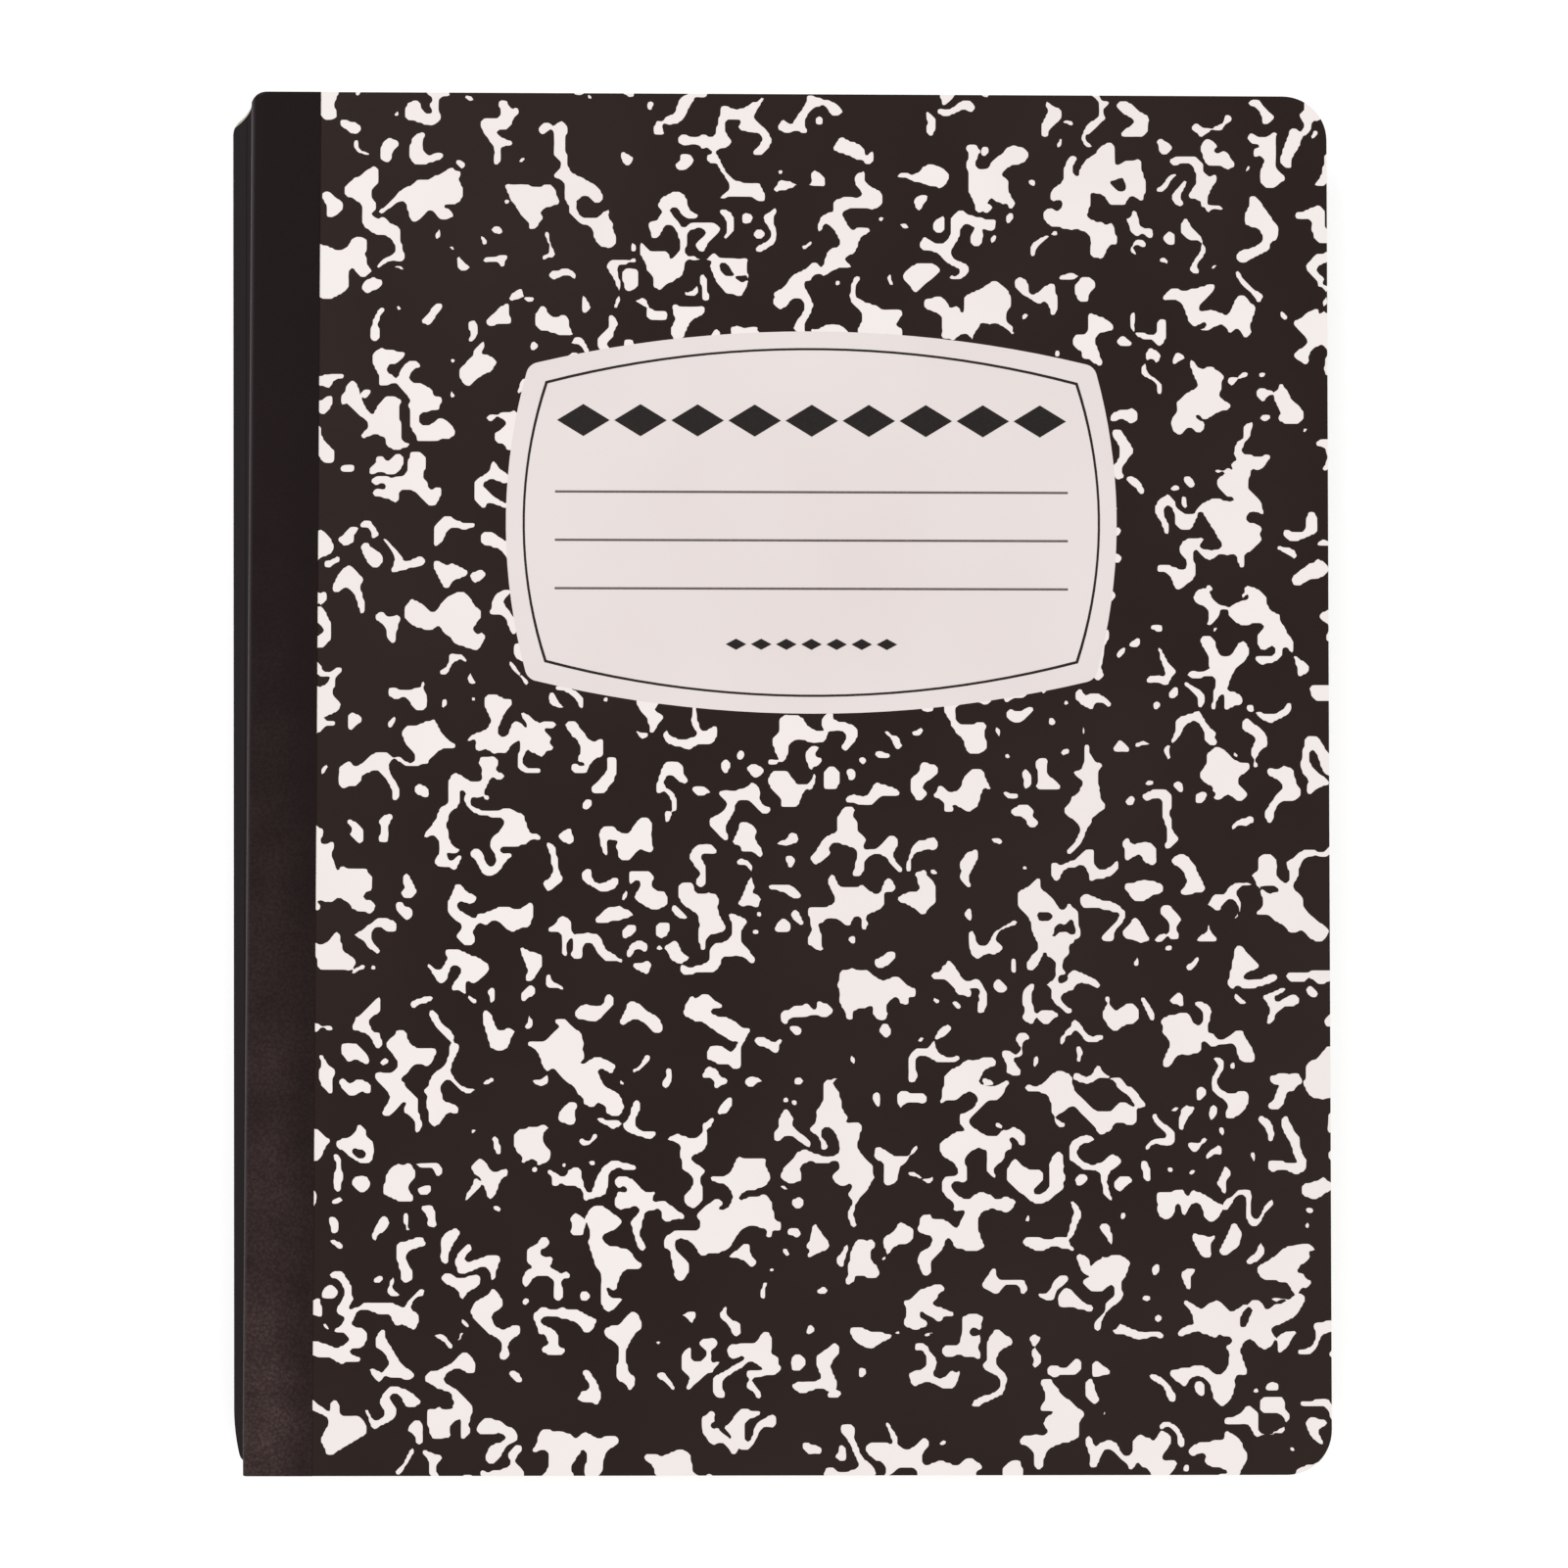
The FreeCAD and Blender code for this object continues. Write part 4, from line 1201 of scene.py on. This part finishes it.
@dataclass
class Leaves:
    """Folded sheets nested in each other; each is two leaves joined round the fold at the spine."""

    paper: bpy.types.Material
    sheets: int = 50
    low: float = 1.2
    high: float = 9.8
    paper_share: float = 0.9
    fold_depth: float = 1.62
    fold_round: float = 1.3
    ragged: float = 0.09
    cut_step: float = 0.004
    seed: int = 7
    bend: int = 4
    plain: int = 3
    tightest: float = 0.98
    last_step: float = 20.0

    def section(self, sheet: int) -> tuple[list[Flat], list[Flat]]:
        """Return one sheet's section near the fold, outside and inside.

        Args:
            sheet: Number of the sheet, from the outermost.

        Returns:
            Two runs of points: how deep behind the spine side, and how high.
        """
        pitch = (self.high - self.low) / (2 * self.sheets)
        runs = []
        for part in (0.0, self.paper_share):
            away = (sheet + part) * pitch
            low, high = self.low + away, self.high - away
            depth = self.fold_depth + away
            radius = min(self.fold_round, (high - low) / 2 * self.tightest)
            run = []
            for step in range(self.bend + 1):
                angle = math.pi / 2 * step / self.bend
                sine, cosine = math.sin(angle), math.cos(angle)
                run.append((depth + radius - radius * sine, low + radius - radius * cosine))
            run += [(u, low + high - z) for u, z in reversed(run)]
            runs.append(run)
        return runs[0], runs[1]

    def build(self) -> bpy.types.Object:
        """Fold and nest all the sheets.

        Returns:
            The finished piece.
        """
        dice = random.Random(self.seed)
        stations = BOOK.stations((BOOK.fore_corner, BOOK.head_corner), self.plain)
        points: list[Point] = []
        faces: list[tuple[int, ...]] = []
        for sheet in range(self.sheets):
            sections = self.section(sheet)
            trims = [abs(dice.gauss(0.0, self.ragged)) for _ in range(2)]
            ends = [abs(dice.gauss(0.0, self.ragged)) for _ in range(2)]
            start = len(points)
            for run in sections:
                for v in stations:
                    shift = ends[0] if v > 0 else ends[1]
                    points += self.row(run, v, v * (1 - shift / (BOOK.height / 2)), trims, sheet)
            faces += shell_faces(len(stations), len(sections[0]) + 4, start)
        piece = make_piece("leaves", points, faces, smooth=False)
        piece.data.materials.append(self.paper)
        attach(piece, "text_block")
        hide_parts("text_block")
        return piece

    def row(self, run: list[Flat], v: float, shown: float, trims: list[float], sheet: int) -> list[Point]:
        """Return one row across a sheet, from one fore-edge round the fold to the other.

        Args:
            run: The sheet's section near the fold.
            v: Distance along the book, on the outline.
            shown: The same distance after the trim's small unevenness.
            trims: How far each leaf's fore-edge falls short.
            sheet: Number of the sheet, from the outermost.

        Returns:
            The points in metres.
        """
        cut, right = BOOK.left(v) + self.cut_step * (sheet + 1), BOOK.right(v)
        low, high = run[0][1], run[-1][1]
        row = [(right - trims[0], low), (right - trims[0] - self.last_step, low)]
        row += [(max(depth - BOOK.width / 2, cut), z) for depth, z in run]
        row += [(right - trims[1] - self.last_step, high), (right - trims[1], high)]
        return [BOOK.place(u, shown, z) for u, z in row]


# Pieces carried over from the construction


@dataclass(frozen=True)
class CarriedOver:
    """A piece whose shape is right as it was built, and which only gets its finish."""

    node: str
    finish: bpy.types.Material

    def build(self) -> bpy.types.Object:
        """Give the piece its finish.

        Returns:
            The finished piece.
        """
        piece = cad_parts[self.node]
        piece.data.materials.clear()
        piece.data.materials.append(self.finish)
        return piece


# Table, light and camera


@dataclass(frozen=True)
class Lamp:
    """A broad soft lamp that faces the book, with its place and size in metres and its power in watts."""

    name: str
    place: Point
    size: float
    power: float

    def build(self) -> None:
        """Hang the lamp."""
        light = bpy.data.lights.new(self.name, "AREA")
        light.size = self.size
        light.energy = self.power
        lamp = bpy.data.objects.new(self.name, light)
        lamp.location = self.place
        lamp.rotation_euler = Vector(self.place).to_track_quat("Z", "Y").to_euler()
        bpy.context.scene.collection.objects.link(lamp)


@dataclass
class Studio:
    """A white table under soft, even light, seen from above.

    The table reaches in metres, its gap, the camera's place, its lens and its sensor are in
    millimetres, and the camera's angles in degrees.
    """

    reach: float = 3.0
    gap: float = 0.02
    level: float = 0.72
    sky: float = 0.8
    lift: float = 0.4
    distance: float = 293.0
    across: float = 0.48
    along: float = -5.4
    tilt: float = 0.95
    lean: float = -0.39
    roll: float = 0.092
    lens: float = 36.137
    sensor: float = 36.0
    nearest: float = 0.01
    rough: float = 0.9
    window: Lamp = Lamp("window", (-0.9, 0.7, 1.1), 0.9, 6.0)
    bounce: Lamp = Lamp("bounce", (0.8, -0.9, 1.0), 0.9, 3.0)

    def table(self) -> None:
        """Lay the white table top under the book."""
        reach, low = self.reach, -self.gap * MM
        corners = [(-reach, -reach, low), (reach, -reach, low), (reach, reach, low), (-reach, reach, low)]
        top = make_piece("table_top", corners, [(0, 1, 2, 3)], smooth=False)
        recipe = Recipe("white_table")
        recipe.shader.inputs["Base Color"].default_value = (self.level, self.level, self.level, 1.0)
        recipe.shader.inputs["Roughness"].default_value = self.rough
        recipe.shader.inputs["Specular IOR Level"].default_value = 0.0
        rays = recipe.add("ShaderNodeLightPath")
        seen = recipe.add("ShaderNodeMath", operation="MAXIMUM")
        recipe.link(rays.outputs["Is Camera Ray"], seen.inputs[0])
        recipe.link(rays.outputs["Is Glossy Ray"], seen.inputs[1])
        glow = recipe.add("ShaderNodeMath", operation="MULTIPLY")
        glow.inputs[1].default_value = self.lift
        recipe.link(seen.outputs[0], glow.inputs[0])
        recipe.shader.inputs["Emission Color"].default_value = (1.0, 1.0, 1.0, 1.0)
        recipe.link(glow.outputs[0], recipe.shader.inputs["Emission Strength"])
        top.data.materials.append(recipe.material)

    def lamps(self) -> None:
        """Hang two broad soft lamps and fill the room with white light."""
        world = bpy.data.worlds.new("white_room")
        bpy.context.scene.world = world
        world.use_nodes = True
        background = world.node_tree.nodes["Background"]
        background.inputs["Color"].default_value = (1.0, 1.0, 1.0, 1.0)
        rays = world.node_tree.nodes.new("ShaderNodeLightPath")
        seen = world.node_tree.nodes.new("ShaderNodeMath")
        seen.operation = "MAXIMUM"
        level = world.node_tree.nodes.new("ShaderNodeMapRange")
        level.inputs["To Min"].default_value = self.sky
        level.inputs["To Max"].default_value = 1.0
        for source, target in (
            (rays.outputs["Is Camera Ray"], seen.inputs[0]),
            (rays.outputs["Is Transmission Ray"], seen.inputs[1]),
            (seen.outputs[0], level.inputs["Value"]),
            (level.outputs["Result"], background.inputs["Strength"]),
        ):
            world.node_tree.links.new(source, target)
        self.window.build()
        self.bounce.build()

    def camera(self) -> None:
        """Hang the camera over the book."""
        data = bpy.data.cameras.new("overhead")
        data.lens = self.lens
        data.sensor_width = self.sensor
        data.clip_start = self.nearest
        camera = bpy.data.objects.new("overhead", data)
        camera.rotation_euler = (math.radians(self.tilt), math.radians(self.lean), math.radians(self.roll))
        camera.location = (self.across * MM, self.along * MM, self.distance * MM)
        bpy.context.scene.collection.objects.link(camera)
        bpy.context.scene.camera = camera

    def build(self) -> None:
        """Set up the table, the lamps and the camera."""
        self.table()
        self.lamps()
        self.camera()
        bpy.context.scene.view_settings.view_transform = "Standard"


# The notebook


@dataclass
class Notebook:
    """The whole notebook, piece by piece. Each layer has its lower and upper height in millimetres."""

    front_board: Flat = (9.9, 10.9)
    front_print: Flat = (10.9, 10.94)
    back_board: Flat = (0.14, 1.1)
    back_print: Flat = (0.1, 0.14)
    front_seed: int = 17
    back_seed: int = 9
    black: bpy.types.Material = field(init=False)
    white: bpy.types.Material = field(init=False)

    def __post_init__(self) -> None:
        """Mix the finishes that several pieces share."""
        self.black = Print("black_ink", (38, 26, 23), (43, 31, 27), 0.1).build()
        self.white = Print("bare_white", (243, 236, 232), (238, 230, 226), 0.2, 0.5).build()

    def covers(self) -> list[Callable[[], bpy.types.Object]]:
        """Choose the boards' finishes and the marbling.

        Returns:
            What makes the boards and their marbled sheets.
        """
        core = Pulp("white_board", (214, 209, 200), (176, 169, 158), 0.5, 0.09).build()
        lining = Pulp("lining_paper", (226, 221, 212), (214, 208, 198), 0.6).build()
        front, back = Marbling(self.front_seed), Marbling(self.back_seed)
        return [
            Board(Side.FRONT, core, lining, *self.front_board).build,
            Board(Side.BACK, core, lining, *self.back_board).build,
            MarbledSheet(Side.FRONT, front, self.black, self.white, *self.front_print).build,
            MarbledSheet(Side.BACK, back, self.black, self.white, *self.back_print).build,
        ]

    def spine(self) -> list[Callable[[], bpy.types.Object]]:
        """Choose the tape's cloth and the spine's board.

        Returns:
            What makes both halves of the tape and the spine board.
        """
        # Both tape cloths carry a painted sheen towards the tail and a painted highlight along the ridge;
        # the first covers the flap and ridge, the second the spine.
        pressed = BookCloth("pressed_cloth", (28, 19, 19), (76, 61, 59), (66, 59, 62), 0.05).build()
        sides = BookCloth("book_cloth", (34, 30, 30), (48, 42, 42), (44, 40, 41), 0.0).build()
        board = Pulp("spine_board", (206, 200, 190), (176, 169, 158), 0.5, 0.09).build()
        return [TapeHalf(Side.FRONT, pressed, sides).build, TapeHalf(Side.BACK, pressed, sides).build,
                SpineBoard(board).build]

    def inside(self) -> list[Callable[[], bpy.types.Object]]:
        """Choose the paper, the thread and the inks of the ruling.

        Returns:
            What makes the leaves, their thread and their ruling.
        """
        paper = Pulp("leaf_paper", (240, 238, 231), (230, 227, 218), 0.4).build()
        thread = Cotton("sewing_cotton", (232, 228, 216), (190, 184, 170)).build()
        blue = Ink("rule_blue", (150, 182, 210), (176, 200, 220)).build()
        pink = Ink("margin_pink", (222, 138, 150), (232, 164, 172)).build()
        ruling = [("first_page_rules", blue), ("last_page_rules", blue),
                  ("first_page_margin", pink), ("last_page_margin", pink)]
        carried = [CarriedOver(node, ink).build for node, ink in ruling]
        return [Leaves(paper).build, CarriedOver("sewing_thread", thread).build, *carried]

    def label(self) -> list[Callable[[], bpy.types.Object]]:
        """Choose the label's paper and inks.

        Returns:
            What makes the label.
        """
        paper = Print("label_paper", (233, 223, 221), (228, 217, 214), 0.25, 0.5).build()
        line = Ink("label_black", (22, 15, 13), (40, 32, 29)).build()
        thin = Ink("label_grey", (96, 87, 84), (118, 108, 105)).build()
        parts = [("label_panel", paper), ("label_rules", thin), ("label_border", line),
                 ("label_title_ornament", line), ("label_note_ornament", line)]
        return [CarriedOver(node, finish).build for node, finish in parts]

    def build(self) -> None:
        """Make every piece and say what was made."""
        for make in self.covers() + self.spine() + self.inside() + self.label():
            piece = make()
            LOG.info("%s: %d faces", piece.name, len(piece.data.polygons))


def main() -> None:
    """Build the notebook in its studio, logging each piece's face count."""
    logging.basicConfig(level=logging.INFO, format="%(message)s")
    Notebook().build()
    Studio().build()


if __name__ == "__main__":
    main()
